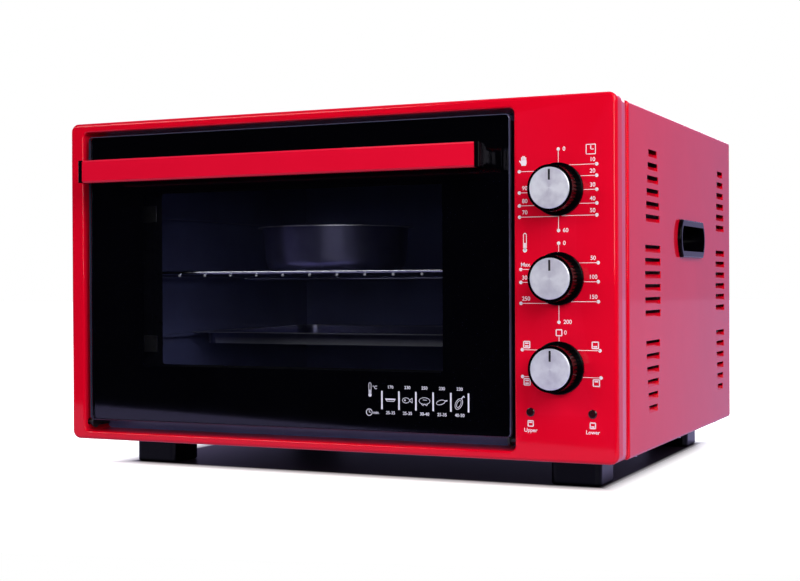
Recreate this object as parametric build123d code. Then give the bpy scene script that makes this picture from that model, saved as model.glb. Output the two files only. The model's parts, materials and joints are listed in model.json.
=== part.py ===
# Mini oven with a drop-down double-glass door, three knobs and two indicator lamps.
# Millimetres. Modelled with X across (controls at +X), Y from the front plate's face towards the
# back and Z up from the front plate's underside. save() then sets it on its feet, with the origin
# under the middle of the whole oven.
import os
from math import cos, radians, sin

from build123d import *

# Cabinet
FRAME_WIDTH = 555.0
FRAME_HEIGHT = 310.0
FRAME_DEPTH = 40.0
FRAME_SHEET = 1.0
FRAME_CORNER = 8.0
FRAME_EDGE = 3.5
FRAME_DRAW = 3.0
FRAME_DRAW_DEPTH = 26.0
FRAME_RETURN = 8.0
BODY_DEPTH = 459.0
CASING_SHEET = 0.8
CASING_SIDE_STEP = 1.5
CASING_TOP_STEP = 3.2
CASING_CORNER = 3.5
CASING_FRONT_ROLL = 2.0
CASING_LIP = 6.0
CASING_FLANGE = 12.0
PANEL_SHEET = 1.0
SEAT_GAP = 0.3

# Door opening in the front frame, given by the red bars around it
LEFT_BAR = 15.5
CONTROL_PANEL_WIDTH = 90.5
BOTTOM_BAR = 8.0
TOP_BAR = 9.0
APERTURE_CORNER = 5.0
APERTURE_ROLL = 2.0

# Baking cavity
CAVITY_SIDE_GAP = 29.5
CAVITY_ROOF_GAP = 25.0
CAVITY_FLOOR = 30.0
CAVITY_REAR_GAP = 54.0
CAVITY_CORNER = 10.0
LINER_SHEET = 0.8
GUIDE_REACH = 7.0
GUIDE_THICKNESS = 3.0
GUIDE_FRONT_GAP = 20.0
GUIDE_REAR_GAP = 10.0
TRAY_GUIDE_RISE = 70.0
RACK_GUIDE_RISE = 130.7
SPARE_GUIDE_RISE = 192.0

# Louvres in the casing sides: two columns of three groups
LOUVRE_GROUPS = 3
LOUVRE_ROWS = 6
LOUVRE_GROUP_PITCH = 85.7
LOUVRE_PITCH = 11.7
LOUVRE_SLOT = 3.0
LOUVRE_LIP = 3.6
LOUVRE_DEPTH = 3.2
FRONT_LOUVRE_SETBACK = 81.0
FRONT_LOUVRE_LONGEST = 55.0
FRONT_LOUVRE_SHORTEST = 29.5
REAR_LOUVRE_SETBACK = 51.0
REAR_LOUVRE_LONGEST = 44.0
REAR_LOUVRE_SHORTEST = 26.0

# Finger cups in the casing sides
GRIP_LENGTH = 103.0
GRIP_HEIGHT = 36.7
GRIP_BULGE = 9.0
GRIP_PROUD = 4.0
GRIP_FROM_REAR = 192.8
GRIP_FROM_TOP = 113.0
GRIP_RIM = 6.1
GRIP_END_RIM = 3.5
GRIP_POCKET_BULGE = 5.0
GRIP_POCKET_DEPTH = 16.0
GRIP_WALL = 1.5
GRIP_EDGE = 1.5

# Feet
FOOT_HEIGHT = 27.0
FOOT_WIDTH = 46.0
FOOT_LENGTH = 45.0
FOOT_CORNER = 6.0
FOOT_EDGE = 2.5
RIGHT_FOOT_INSET = 54.5
LEFT_FOOT_INSET = 61.0
FRONT_FOOT_SETBACK = 77.0
REAR_FOOT_SETBACK = 59.0
FLOOR_VENT_PITCH = 75.0
FLOOR_VENT_LENGTH = 50.0
FLOOR_VENT_WIDTH = 4.0
FLOOR_VENT_ROW_PITCH = 15.0
FLOOR_VENT_FRONT_GAP = 40.0

# Door
DOOR_GAP = 4.5
DOOR_BOTTOM_GAP = 11.0
GLASS_RECESS = 2.0
GLASS_THICKNESS = 4.0
GLASS_CORNER = 4.0
GLASS_CHAMFER = 0.8
DOOR_SHEET = 1.0
DOOR_FRAME_INSET = 3.4
DOOR_FRONT_FLANGE = 32.0
DOOR_REAR_CLEARANCE = 0.6
WINDOW_LEFT_BORDER = 62.0
WINDOW_RIGHT_BORDER = 64.3
WINDOW_CORNER = 3.0
WINDOW_BOTTOM_BORDER = 54.0
WINDOW_TOP_BORDER = 55.5
INNER_GLASS_LAP = 9.0
HINGE_AXIS_Y = 8.0
HINGE_AXIS_Z = 16.5
HINGE_PIN_RADIUS = 2.5
HINGE_CLEARANCE = 0.05
HINGE_BOSS_RADIUS = 5.5
HINGE_LUG_THICKNESS = 2.0
HINGE_LUG_HEIGHT = 62.0
HINGE_PLATE = 2.0
HINGE_SCREW_REACH = 5.0
BRACKET_REAR_Y = 32.0
BRACKET_FOOT = 14.0
SPRING_RADIUS = 5.0
SPRING_WIRE = 1.4
SPRING_PIN_LEG = 1.2
SPRING_PITCH = 1.8
SPRING_TURNS = 4

# Handle
HANDLE_REACH = 33.0
HANDLE_THICKNESS = 12.0
HANDLE_HEIGHT = 21.3
HANDLE_DROP = 36.8
HANDLE_END_INSET = 13.8
HANDLE_CAP = 5.0
HANDLE_LEG = 18.0
HANDLE_LEG_HEIGHT = 15.0
HANDLE_FRONT_EDGE = 1.5

# Controls
KNOB_INSET = 50.8
TIMER_DROP = 80.0
KNOB_PITCH = 75.0
SKIRT_RADIUS = 22.5
SKIRT_THICKNESS = 3.0
KNOB_RADIUS = 19.6
KNOB_GAP = 1.6
KNOB_REACH = 23.5
KNOB_WALL = 3.0
KNOB_HUB_RADIUS = 6.0
KNOB_FLUTES = 40
KNOB_FLUTE_RADIUS = 0.6
KNOB_COLLAR = 3.0
CAP_RADIUS = 17.2
CAP_THICKNESS = 1.5
POINTER_WIDTH = 1.9
POINTER_INNER = 6.5
POINTER_OUTER = 15.5
POINTER_DEPTH = 0.4
SHAFT_RADIUS = 3.0
SHAFT_CLEARANCE = 0.06
BUSH_RADIUS = 5.0
UNIT_PLATE = 1.2
UNIT_SCREW_SPACING = 28.0
TIMER_UNIT_WIDTH = 48.0
TIMER_UNIT_DEPTH = 42.0
THERMOSTAT_UNIT_WIDTH = 38.0
THERMOSTAT_UNIT_DEPTH = 34.0
SELECTOR_UNIT_WIDTH = 44.0
SELECTOR_UNIT_DEPTH = 48.0
UNIT_PLATE_WIDTH = 40.0
TAB_LENGTH = 8.0
TAB_WIDTH = 6.3
TAB_THICKNESS = 0.8
LAMP_OFFSETS = (-25.5, 29.1)
LAMP_Z = 42.0
LAMP_RADIUS = 3.8
LAMP_BODY_RADIUS = 3.2
LAMP_LENGTH = 24.0
LAMP_PROUD = 1.2

# Heaters and sensor
ELEMENT_RADIUS = 3.4
ELEMENT_BEND = 40.0
ELEMENT_FRONT_Y = 120.0
ELEMENT_REAR_GAP = 85.0
ELEMENT_END_GAP = 18.0
ELEMENT_WALL_GAP = 13.0
LOWER_ELEMENT_RISE = 15.0
ELEMENT_TAIL = 22.0
INSULATOR_RADIUS = 7.0
INSULATOR_FLANGE = 10.0
INSULATOR_FLANGE_THICKNESS = 3.0
CLIP_FROM_BEND = 14.5
CLIP_WIDTH = 8.0
CLIP_MARGIN = 3.0
SHIELD_GAP = 14.0
SHIELD_SHEET = 0.6
SHIELD_FLANGE = 12.0
SHIELD_TOP_GAP = 8.0
BULB_RADIUS = 3.0
BULB_LENGTH = 80.0
BULB_WALL_GAP = 5.0
BULB_DROP = 30.0
BULB_SETBACK = 70.0
CAPILLARY_RADIUS = 0.9
CAPILLARY_SETBACK = 45.0

# Rack, pan and tray
RACK_SIDE_GAP = 2.0
RACK_FRONT_GAP = 10.0
RACK_BORDER_RADIUS = 2.0
RACK_WIRE_RADIUS = 1.5
RACK_WELD = 0.6
RACK_WIRES = 13
RACK_WIRE_PITCH = 29.2
RACK_CORNER = 14.0
PAN_LEFT_SHIFT = 17.0
PAN_FRONT_GAP = 10.0
PAN_RADIUS = 73.5
PAN_RIM = 5.0
PAN_HEIGHT = 46.0
PAN_SHEET = 1.0
PAN_DRAFT = 4.0
PAN_BASE_ROUND = 14.0
TRAY_DEPTH = 262.0
TRAY_HEIGHT = 12.0
TRAY_RIM = 12.0
TRAY_SHEET = 0.8
TRAY_CORNER = 18.0

# Mains inlet and wiring
GLAND_LEFT_SHIFT = 1.7
GLAND_Z = 40.0
GLAND_REACH = 6.0
GLAND_INSIDE = 10.0
GLAND_RADIUS = 8.0
GLAND_FLANGE_RADIUS = 11.0
GLAND_BORE_RADIUS = 3.75
TERMINAL_BLOCK_GAP = 60.0
TERMINAL_BLOCK = (44.0, 20.0, 16.0)
WIRE_RADIUS = 1.2
WIRE_BEND = 12.0
WIRE_LOOP = 30.0
WIRE_SIDE_SHIFT = 22.0
TRUNK_GAP = 20.0

# Fasteners
SCREW_RADIUS = 1.6
SCREW_HEAD_RADIUS = 3.2
SCREW_HEAD = 1.2
SCREW_LENGTH = 7.0
HANDLE_SCREW_RADIUS = 2.5
FOOT_SCREW_RADIUS = 2.0
FOOT_SCREW_HEAD_RADIUS = 4.0

# Places worked out from the sizes above
FRAME_SIDE = FRAME_WIDTH / 2
APERTURE_X = (-FRAME_SIDE + LEFT_BAR, FRAME_SIDE - CONTROL_PANEL_WIDTH)
APERTURE_Z = (BOTTOM_BAR, FRAME_HEIGHT - TOP_BAR)
DOOR_CENTRE_X = sum(APERTURE_X) / 2
FACE_Y = FRAME_DEPTH - FRAME_SHEET - LINER_SHEET
CASING_SIDE = FRAME_SIDE - CASING_SIDE_STEP
CASING_TOP = FRAME_HEIGHT - CASING_TOP_STEP
CASING_INNER = CASING_SIDE - CASING_SHEET
CASING_REAR = BODY_DEPTH - PANEL_SHEET
FLOOR_TOP = CASING_SHEET + PANEL_SHEET
LOUVRE_MIDDLE = CASING_TOP / 2 + CASING_SHEET
FRONT_LOUVRE_Y = FRAME_DEPTH + FRONT_LOUVRE_SETBACK
REAR_LOUVRE_Y = BODY_DEPTH - REAR_LOUVRE_SETBACK
GRIP_Y = BODY_DEPTH - GRIP_FROM_REAR
GRIP_Z = CASING_TOP - GRIP_FROM_TOP
FRONT_FOOT_Y = FRONT_FOOT_SETBACK
REAR_FOOT_Y = BODY_DEPTH - REAR_FOOT_SETBACK
CAVITY_X = (APERTURE_X[0] + CAVITY_SIDE_GAP, APERTURE_X[1] - CAVITY_SIDE_GAP)
CAVITY_Z = (CAVITY_FLOOR, FRAME_HEIGHT - CAVITY_ROOF_GAP)
CAVITY_REAR = BODY_DEPTH - CAVITY_REAR_GAP
GUIDE_START = FRAME_DEPTH + GUIDE_FRONT_GAP
GUIDE_END = CAVITY_REAR - GUIDE_REAR_GAP
TRAY_GUIDE = CAVITY_FLOOR + TRAY_GUIDE_RISE
RACK_GUIDE = CAVITY_FLOOR + RACK_GUIDE_RISE
SPARE_GUIDE = CAVITY_FLOOR + SPARE_GUIDE_RISE
GLASS_X = (APERTURE_X[0] + DOOR_GAP, APERTURE_X[1] - DOOR_GAP)
GLASS_Z = (BOTTOM_BAR + DOOR_BOTTOM_GAP, APERTURE_Z[1] - DOOR_GAP)
GLASS_Y = (GLASS_RECESS, GLASS_RECESS + GLASS_THICKNESS)
DOOR_X = (GLASS_X[0] + DOOR_FRAME_INSET, GLASS_X[1] - DOOR_FRAME_INSET)
DOOR_Z = (GLASS_Z[0] + DOOR_FRAME_INSET, GLASS_Z[1] - DOOR_FRAME_INSET)
DOOR_Y = (GLASS_Y[1], FACE_Y - DOOR_REAR_CLEARANCE)
WINDOW_X = (GLASS_X[0] + WINDOW_LEFT_BORDER, GLASS_X[1] - WINDOW_RIGHT_BORDER)
WINDOW_Z = (GLASS_Z[0] + WINDOW_BOTTOM_BORDER, GLASS_Z[1] - WINDOW_TOP_BORDER)
INNER_GLASS_Y = (DOOR_Y[1] - DOOR_SHEET - GLASS_THICKNESS, DOOR_Y[1] - DOOR_SHEET)
HANDLE_X = (GLASS_X[0] + HANDLE_END_INSET, GLASS_X[1] - HANDLE_END_INSET)
HANDLE_Y = (-HANDLE_REACH, HANDLE_THICKNESS - HANDLE_REACH)
HANDLE_Z = GLASS_Z[1] - HANDLE_DROP
KNOB_X = FRAME_SIDE - KNOB_INSET
KNOB_Z = {
    "timer": FRAME_HEIGHT - TIMER_DROP,
    "thermostat": FRAME_HEIGHT - TIMER_DROP - KNOB_PITCH,
    "selector": FRAME_HEIGHT - TIMER_DROP - 2 * KNOB_PITCH,
}
LAMP_X = [KNOB_X + offset for offset in LAMP_OFFSETS]
GLAND_X = KNOB_X - GLAND_LEFT_SHIFT
TERMINAL_BLOCK_Y = CAVITY_REAR - TERMINAL_BLOCK_GAP
KNOB_FRONT_Y = -KNOB_REACH
UPPER_ELEMENT_Z = CAVITY_Z[1] - ELEMENT_WALL_GAP
LOWER_ELEMENT_Z = CAVITY_FLOOR + LOWER_ELEMENT_RISE
ELEMENT_REAR_Y = CAVITY_REAR - ELEMENT_REAR_GAP
CLIP_X = CAVITY_X[0] + ELEMENT_END_GAP + ELEMENT_BEND + CLIP_FROM_BEND
SHIELD_X = CAVITY_X[1] + LINER_SHEET + SHIELD_GAP
BULB_X = CAVITY_X[1] - BULB_WALL_GAP
BULB_Z = CAVITY_Z[1] - BULB_DROP
BULB_FRONT_Y = ELEMENT_FRONT_Y + BULB_SETBACK
CAPILLARY_CROSSING_Y = ELEMENT_FRONT_Y + CAPILLARY_SETBACK
RACK_X = (CAVITY_X[0] + RACK_SIDE_GAP, CAVITY_X[1] - RACK_SIDE_GAP)
RACK_FRONT_Y = FRAME_DEPTH + RACK_FRONT_GAP
RACK_REAR_Y = GUIDE_END
RACK_Z = RACK_GUIDE + SEAT_GAP + RACK_BORDER_RADIUS
RACK_WIRE_Z = RACK_Z - RACK_BORDER_RADIUS - RACK_WIRE_RADIUS + RACK_WELD
PAN_X = DOOR_CENTRE_X - PAN_LEFT_SHIFT
PAN_Y = RACK_FRONT_Y + PAN_FRONT_GAP + PAN_RADIUS + PAN_RIM
PAN_FLOOR = RACK_WIRE_Z + RACK_WIRE_RADIUS + SEAT_GAP
TRAY_RIM_Z = TRAY_GUIDE + SEAT_GAP
TRAY_FRONT_Y = GUIDE_END - TRAY_DEPTH
FRONT_PLANE_Y = HANDLE_REACH - (HANDLE_REACH + BODY_DEPTH + GLAND_REACH) / 2
ON_ITS_FEET = Pos(0, FRONT_PLANE_Y, FOOT_HEIGHT)


# Small helpers

def block(x, y, z):
    """A box between pairs of limits."""
    middle = Pos(sum(x) / 2, sum(y) / 2, sum(z) / 2)
    return middle * Box(x[1] - x[0], y[1] - y[0], z[1] - z[0])


def grown(limits, amount):
    """A pair of limits moved outwards by an amount, or inwards if it is negative."""
    return (limits[0] - amount, limits[1] + amount)


def rod_x(x, y, z, radius):
    """A round rod along X between two limits."""
    return Pos(sum(x) / 2, y, z) * Rot(0, 90, 0) * Cylinder(radius, x[1] - x[0])


def rod_y(x, y, z, radius):
    """A round rod along Y between two limits."""
    return Pos(x, sum(y) / 2, z) * Rot(90, 0, 0) * Cylinder(radius, y[1] - y[0])


def rod_z(x, y, z, radius):
    """A round rod along Z between two limits."""
    return Pos(x, y, sum(z) / 2) * Cylinder(radius, z[1] - z[0])


def front_outline(x, z, corner=0.0):
    """A rectangle seen from the front, with round corners if a radius is given."""
    width = x[1] - x[0]
    height = z[1] - z[0]
    shape = RectangleRounded(width, height, corner) if corner else Rectangle(width, height)
    return Pos(sum(x) / 2, sum(z) / 2) * shape


def slab(outline, y):
    """An outline seen from the front, given thickness between two Y limits."""
    return Pos(0, y[1], 0) * extrude(Plane.XZ * outline, y[1] - y[0])


def side_slab(outline, x):
    """An outline seen from the side (Y right, Z up), given thickness between two X limits."""
    return Pos(x[0], 0, 0) * extrude(Plane.YZ * outline, x[1] - x[0])


def mirrored_in_door(shape):
    """The same piece on the other side of the door's middle."""
    return mirror(shape, about=Plane.YZ.offset(DOOR_CENTRE_X))


def mirrored_in_cabinet(shape):
    """The same piece on the other side of the cabinet."""
    return mirror(shape, about=Plane.YZ)


def bent_tube(points, radius, bend):
    """A round tube along straight runs joined by arcs."""
    path = FilletPolyline(*points, radius=bend)
    section = Plane(origin=path @ 0, z_dir=path % 0) * Circle(radius)
    return sweep(section, path=path)


def screw_y(x, y, z, length, head=-1):
    """A pan-head screw along Y whose head seats at y; head is -1 in front of it, 1 behind."""
    head_limits = sorted((y, y + head * SCREW_HEAD))
    shank_limits = sorted((y, y - head * length))
    return rod_y(x, head_limits, z, SCREW_HEAD_RADIUS) + rod_y(x, shank_limits, z, SCREW_RADIUS)


# Cabinet pieces

BACK_SCREWS = [
    (side * (CASING_INNER - CASING_FLANGE / 2), z)
    for side in (-1, 1)
    for z in (CASING_TOP * 0.15, CASING_TOP * 0.5, CASING_TOP * 0.85)
] + [
    (side * CASING_INNER / 2, CASING_TOP - CASING_SHEET - CASING_FLANGE / 2) for side in (-1, 1)
]
BOTTOM_SCREWS = [
    (side * (CASING_INNER - CASING_FLANGE / 2), y)
    for side in (-1, 1)
    for y in (FRONT_FOOT_Y, (FRONT_FOOT_Y + REAR_FOOT_Y) / 2, REAR_FOOT_Y)
]
LEFT_FOOT_X = LEFT_FOOT_INSET - FRAME_SIDE
RIGHT_FOOT_X = FRAME_SIDE - RIGHT_FOOT_INSET
FEET = {
    "foot_front_left": (LEFT_FOOT_X, FRONT_FOOT_Y),
    "foot_front_right": (RIGHT_FOOT_X, FRONT_FOOT_Y),
    "foot_rear_left": (LEFT_FOOT_X, REAR_FOOT_Y),
    "foot_rear_right": (RIGHT_FOOT_X, REAR_FOOT_Y),
}


def frame_body(x, z, corner, y):
    """Solid of the front frame: straight walls, then the sides and the top draw in toward the rear."""
    bend_y = FRAME_DEPTH - FRAME_DRAW_DEPTH
    draw = FRAME_DRAW * (y[1] - bend_y) / FRAME_DRAW_DEPTH
    bend_outline = front_outline(x, z, corner)
    rear_outline = front_outline(grown(x, -draw), (z[0], z[1] - draw), corner - draw)
    bend_face = Pos(0, bend_y, 0) * (Plane.XZ * bend_outline).face()
    rear_face = Pos(0, y[1], 0) * (Plane.XZ * rear_outline).face()
    return slab(bend_outline, (y[0], bend_y)) + loft([bend_face, rear_face], ruled=True)


def front_frame():
    """Pressed front with drawn-in walls, rear return flange, door opening and panel holes."""
    x = (-FRAME_SIDE, FRAME_SIDE)
    z = (0, FRAME_HEIGHT)
    shell = frame_body(x, z, FRAME_CORNER, (0, FRAME_DEPTH))
    shell = fillet(shell.faces().sort_by(Axis.Y)[0].edges(), FRAME_EDGE)
    hollow = frame_body(
        grown(x, -FRAME_SHEET),
        grown(z, -FRAME_SHEET),
        FRAME_CORNER - FRAME_SHEET,
        (FRAME_SHEET, FRAME_DEPTH - FRAME_SHEET),
    )
    hollow = fillet(hollow.faces().sort_by(Axis.Y)[0].edges(), FRAME_EDGE - FRAME_SHEET)
    rear_outline = front_outline(grown(x, -FRAME_RETURN), grown(z, -FRAME_RETURN), FRAME_CORNER / 2)
    rear_opening = slab(rear_outline, (FRAME_DEPTH - 2 * FRAME_SHEET, FRAME_DEPTH + 1))
    lip_outline = front_outline(
        grown(APERTURE_X, FRAME_SHEET), grown(APERTURE_Z, FRAME_SHEET), APERTURE_CORNER + FRAME_SHEET
    )
    lip = slab(lip_outline, (FRAME_SHEET / 2, FACE_Y))
    frame = shell - hollow - rear_opening + lip
    frame -= slab(front_outline(APERTURE_X, APERTURE_Z, APERTURE_CORNER), (-1, FRAME_DEPTH))
    rim = frame.faces().filter_by(Axis.Y).sort_by(Axis.Y)[0].inner_wires()[0].edges()
    frame = fillet(rim, APERTURE_ROLL)
    holes = []
    for knob_z in KNOB_Z.values():
        holes.append(rod_y(KNOB_X, (-1, 2 * FRAME_SHEET), knob_z, BUSH_RADIUS))
        for screw_x in unit_screw_places():
            holes.append(rod_y(screw_x, (-1, 2 * FRAME_SHEET), knob_z, SCREW_RADIUS))
    for lamp_x in LAMP_X:
        holes.append(rod_y(lamp_x, (-1, 2 * FRAME_SHEET), LAMP_Z, LAMP_BODY_RADIUS))
    pin = rod_x((APERTURE_X[0] - 2, APERTURE_X[0] + 1), HINGE_AXIS_Y, HINGE_AXIS_Z, HINGE_PIN_RADIUS + 1)
    return frame - holes - pin - mirrored_in_door(pin)


def louvre_length(z, longest, shortest):
    """Louvres shorten towards the top and bottom of their column, as in a barrel's outline."""
    half_column = LOUVRE_GROUP_PITCH * (LOUVRE_GROUPS - 1) / 2 + LOUVRE_PITCH * (LOUVRE_ROWS - 1) / 2
    share = (z - LOUVRE_MIDDLE) / half_column
    return longest - (longest - shortest) * share**2


def louvre_heights():
    """The heights of one column's slots."""
    heights = []
    for group in range(LOUVRE_GROUPS):
        group_z = LOUVRE_MIDDLE + (group - (LOUVRE_GROUPS - 1) / 2) * LOUVRE_GROUP_PITCH
        for row in range(LOUVRE_ROWS):
            heights.append(group_z + (row - (LOUVRE_ROWS - 1) / 2) * LOUVRE_PITCH)
    return heights


def louvre(y, z, length):
    """One louvre in the right side: its inward lip with end walls, and the cut that opens it."""
    lip_bottom = z - LOUVRE_SLOT / 2 - LOUVRE_LIP
    lip_top = z - LOUVRE_SLOT / 2
    slot_top = z + LOUVRE_SLOT / 2
    inner = CASING_SIDE - LOUVRE_DEPTH
    lip = Polyline(
        (CASING_SIDE - CASING_SHEET / 2, lip_bottom - CASING_SHEET),
        (inner - CASING_SHEET, lip_top),
        (CASING_SIDE - CASING_SHEET / 2, lip_top),
        close=True,
    )
    cut = Polyline(
        (CASING_SIDE + 1, lip_bottom),
        (CASING_SIDE, lip_bottom),
        (inner, lip_top),
        (inner - 2 * CASING_SHEET, lip_top),
        (inner - 2 * CASING_SHEET, slot_top),
        (CASING_SIDE + 1, slot_top),
        close=True,
    )
    half = length / 2
    lip_solid = slab(make_face(lip), (y - half - CASING_SHEET, y + half + CASING_SHEET))
    return lip_solid, slab(make_face(cut), (y - half, y + half))


def outer_casing():
    """Wrapped sheet: top and both sides, its front edge rolled in, flanged in below and behind."""
    y = (FRAME_DEPTH, CASING_REAR)
    x = (-CASING_SIDE, CASING_SIDE)
    wrap = block(x, y, (0, CASING_TOP))
    wrap = fillet(wrap.edges().filter_by(Axis.Y), CASING_CORNER)
    wrap = fillet(wrap.faces().sort_by(Axis.Y)[0].edges(), CASING_FRONT_ROLL)
    inner = block(grown(x, -CASING_SHEET), grown(y, -CASING_SHEET), (CASING_SHEET, CASING_TOP - CASING_SHEET))
    inner = fillet(inner.edges().filter_by(Axis.Y), CASING_CORNER - CASING_SHEET)
    inner = fillet(inner.faces().sort_by(Axis.Y)[0].edges(), CASING_FRONT_ROLL - CASING_SHEET)
    front_opening = block(
        grown(x, -CASING_LIP), (y[0] - 1, y[0] + 2 * CASING_SHEET), (-1, CASING_TOP - CASING_LIP)
    )
    flange_x = (CASING_FLANGE - CASING_INNER, CASING_INNER - CASING_FLANGE)
    under_opening = block(flange_x, (y[0] - 1, y[1] + 1), (-1, 2 * CASING_SHEET))
    rear_top = CASING_TOP - CASING_SHEET - CASING_FLANGE
    rear_opening = block(flange_x, (y[1] - 2 * CASING_SHEET, y[1] + 1), (-1, rear_top))
    casing = wrap - inner - front_opening - under_opening - rear_opening
    lips = []
    cuts = []
    for column_y, longest, shortest in (
        (FRONT_LOUVRE_Y, FRONT_LOUVRE_LONGEST, FRONT_LOUVRE_SHORTEST),
        (REAR_LOUVRE_Y, REAR_LOUVRE_LONGEST, REAR_LOUVRE_SHORTEST),
    ):
        for z in louvre_heights():
            lip, cut = louvre(column_y, z, louvre_length(z, longest, shortest))
            lips += [lip, mirrored_in_cabinet(lip)]
            cuts += [cut, mirrored_in_cabinet(cut)]
    grip_hole = side_slab(grip_pocket(GRIP_WALL + SEAT_GAP), (CASING_INNER - 1, CASING_SIDE + 1))
    cuts += [grip_hole, mirrored_in_cabinet(grip_hole)]
    for screw_x, screw_z in BACK_SCREWS:
        cuts.append(rod_y(screw_x, (y[1] - 2 * CASING_SHEET, y[1] + 1), screw_z, SCREW_RADIUS))
    for screw_x, screw_y_place in BOTTOM_SCREWS:
        cuts.append(rod_z(screw_x, screw_y_place, (-1, 2 * CASING_SHEET), SCREW_RADIUS))
    return casing + lips - cuts


def grip_outline(end_inset=0.0, edge_inset=0.0, bulge=GRIP_BULGE):
    """The finger cup's barrel outline, drawn in at its ends and its long edges."""
    half_length = GRIP_LENGTH / 2 - end_inset
    half_height = GRIP_HEIGHT / 2 - edge_inset
    corner_y = half_length - bulge
    outline = [
        Line((-corner_y, half_height), (corner_y, half_height)),
        ThreePointArc((corner_y, half_height), (half_length, 0), (corner_y, -half_height)),
        Line((corner_y, -half_height), (-corner_y, -half_height)),
        ThreePointArc((-corner_y, -half_height), (-half_length, 0), (-corner_y, half_height)),
    ]
    return Pos(GRIP_Y, GRIP_Z) * make_face(outline)


def grip_pocket(growth):
    """The pocket's outline, grown all round by an amount."""
    return grip_outline(GRIP_END_RIM - growth, GRIP_RIM - growth, GRIP_POCKET_BULGE)


def side_grip():
    """Right-hand finger cup: a proud bezel and a closed pocket behind it."""
    bezel = side_slab(grip_outline(), (CASING_SIDE, CASING_SIDE + GRIP_PROUD))
    bezel = fillet(bezel.faces().sort_by(Axis.X)[-1].edges(), GRIP_EDGE)
    pocket_bottom = CASING_SIDE + GRIP_PROUD - GRIP_POCKET_DEPTH
    shell = side_slab(grip_pocket(GRIP_WALL), (pocket_bottom - GRIP_WALL, CASING_SIDE + 1))
    pocket = side_slab(grip_pocket(0), (pocket_bottom, CASING_SIDE + GRIP_PROUD + 1))
    return bezel + shell - pocket


def back_panel():
    """Flat rear plate screwed onto the casing's rear flange, with vent slots."""
    x = grown((-CASING_SIDE, CASING_SIDE), -2)
    z = (2, CASING_TOP - 2)
    plate = slab(front_outline(x, z, CASING_CORNER), (CASING_REAR, BODY_DEPTH))
    cuts = []
    slot_length = 60.0
    slot_height = 3.0
    for column in (-1.5, -0.5, 0.5, 1.5):
        for row in range(6):
            slot_z = CASING_TOP * 0.62 + row * LOUVRE_PITCH
            centre = Pos(column * slot_length * 1.6, slot_z)
            slot = centre * SlotOverall(slot_length, slot_height)
            cuts.append(slab(slot, grown((CASING_REAR, BODY_DEPTH), 1)))
    for screw_x, screw_z in BACK_SCREWS:
        cuts.append(rod_y(screw_x, grown((CASING_REAR, BODY_DEPTH), 1), screw_z, SCREW_RADIUS))
    cuts.append(rod_y(GLAND_X, grown((CASING_REAR, BODY_DEPTH), 1), GLAND_Z, GLAND_RADIUS))
    return plate - cuts


def bottom_panel():
    """Floor plate lying on the casing's bottom flanges, with cooling slots."""
    plate = block(
        grown((-CASING_SIDE, CASING_SIDE), -CASING_CORNER),
        (FRAME_DEPTH + CASING_FRONT_ROLL + SEAT_GAP, CASING_REAR - CASING_SHEET - SEAT_GAP),
        (CASING_SHEET, FLOOR_TOP),
    )
    cuts = []
    for bank_y in (FRONT_FOOT_Y + 2 * FLOOR_VENT_FRONT_GAP, REAR_FOOT_Y - 3 * FLOOR_VENT_FRONT_GAP):
        for column in range(-2, 3):
            for row in range(3):
                place = Pos(column * FLOOR_VENT_PITCH, bank_y + row * FLOOR_VENT_ROW_PITCH, FLOOR_TOP)
                cuts.append(place * Box(FLOOR_VENT_LENGTH, FLOOR_VENT_WIDTH, 4 * PANEL_SHEET))
    for screw_x, y in BOTTOM_SCREWS:
        cuts.append(rod_z(screw_x, y, (0, 2 * FLOOR_TOP), SCREW_RADIUS))
    for x, y in FEET.values():
        cuts.append(rod_z(x, y, (0, 2 * FLOOR_TOP), FOOT_SCREW_RADIUS))
    return plate - cuts


def foot(x, y):
    """Moulded foot with a counterbored screw hole."""
    z = (-FOOT_HEIGHT, CASING_SHEET)
    body = Pos(x, y, sum(z) / 2) * Box(FOOT_WIDTH, FOOT_LENGTH, z[1] - z[0])
    body = fillet(body.edges().filter_by(Axis.Z), FOOT_CORNER)
    body = fillet(body.faces().sort_by(Axis.Z)[0].edges(), FOOT_EDGE)
    counterbore = rod_z(x, y, (-FOOT_HEIGHT - 1, -FOOT_HEIGHT / 2), FOOT_SCREW_HEAD_RADIUS + 1)
    return body - counterbore - rod_z(x, y, (-FOOT_HEIGHT, 1), FOOT_SCREW_RADIUS)


def foot_screws():
    """One screw up through each foot into the floor plate."""
    screws = []
    for x, y in FEET.values():
        shank = rod_z(x, y, (-FOOT_HEIGHT / 2, FLOOR_TOP + 4), FOOT_SCREW_RADIUS)
        head = rod_z(x, y, (-FOOT_HEIGHT / 2 - 3, -FOOT_HEIGHT / 2), FOOT_SCREW_HEAD_RADIUS)
        screws.append(shank + head)
    return screws


def back_screws():
    """Screws through the back plate into the casing's rear flange."""
    return [screw_y(x, BODY_DEPTH, z, SCREW_LENGTH, head=1) for x, z in BACK_SCREWS]


def bottom_screws():
    """Screws up through the casing's bottom flange into the floor plate."""
    screws = []
    for x, y in BOTTOM_SCREWS:
        shank = rod_z(x, y, (0, SCREW_LENGTH), SCREW_RADIUS)
        screws.append(shank + rod_z(x, y, (-SCREW_HEAD, 0), SCREW_HEAD_RADIUS))
    return screws


# Cavity pieces

ELEMENT_LEGS = [
    (y, z) for y in (ELEMENT_FRONT_Y, ELEMENT_REAR_Y) for z in (LOWER_ELEMENT_Z, UPPER_ELEMENT_Z)
]


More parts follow.
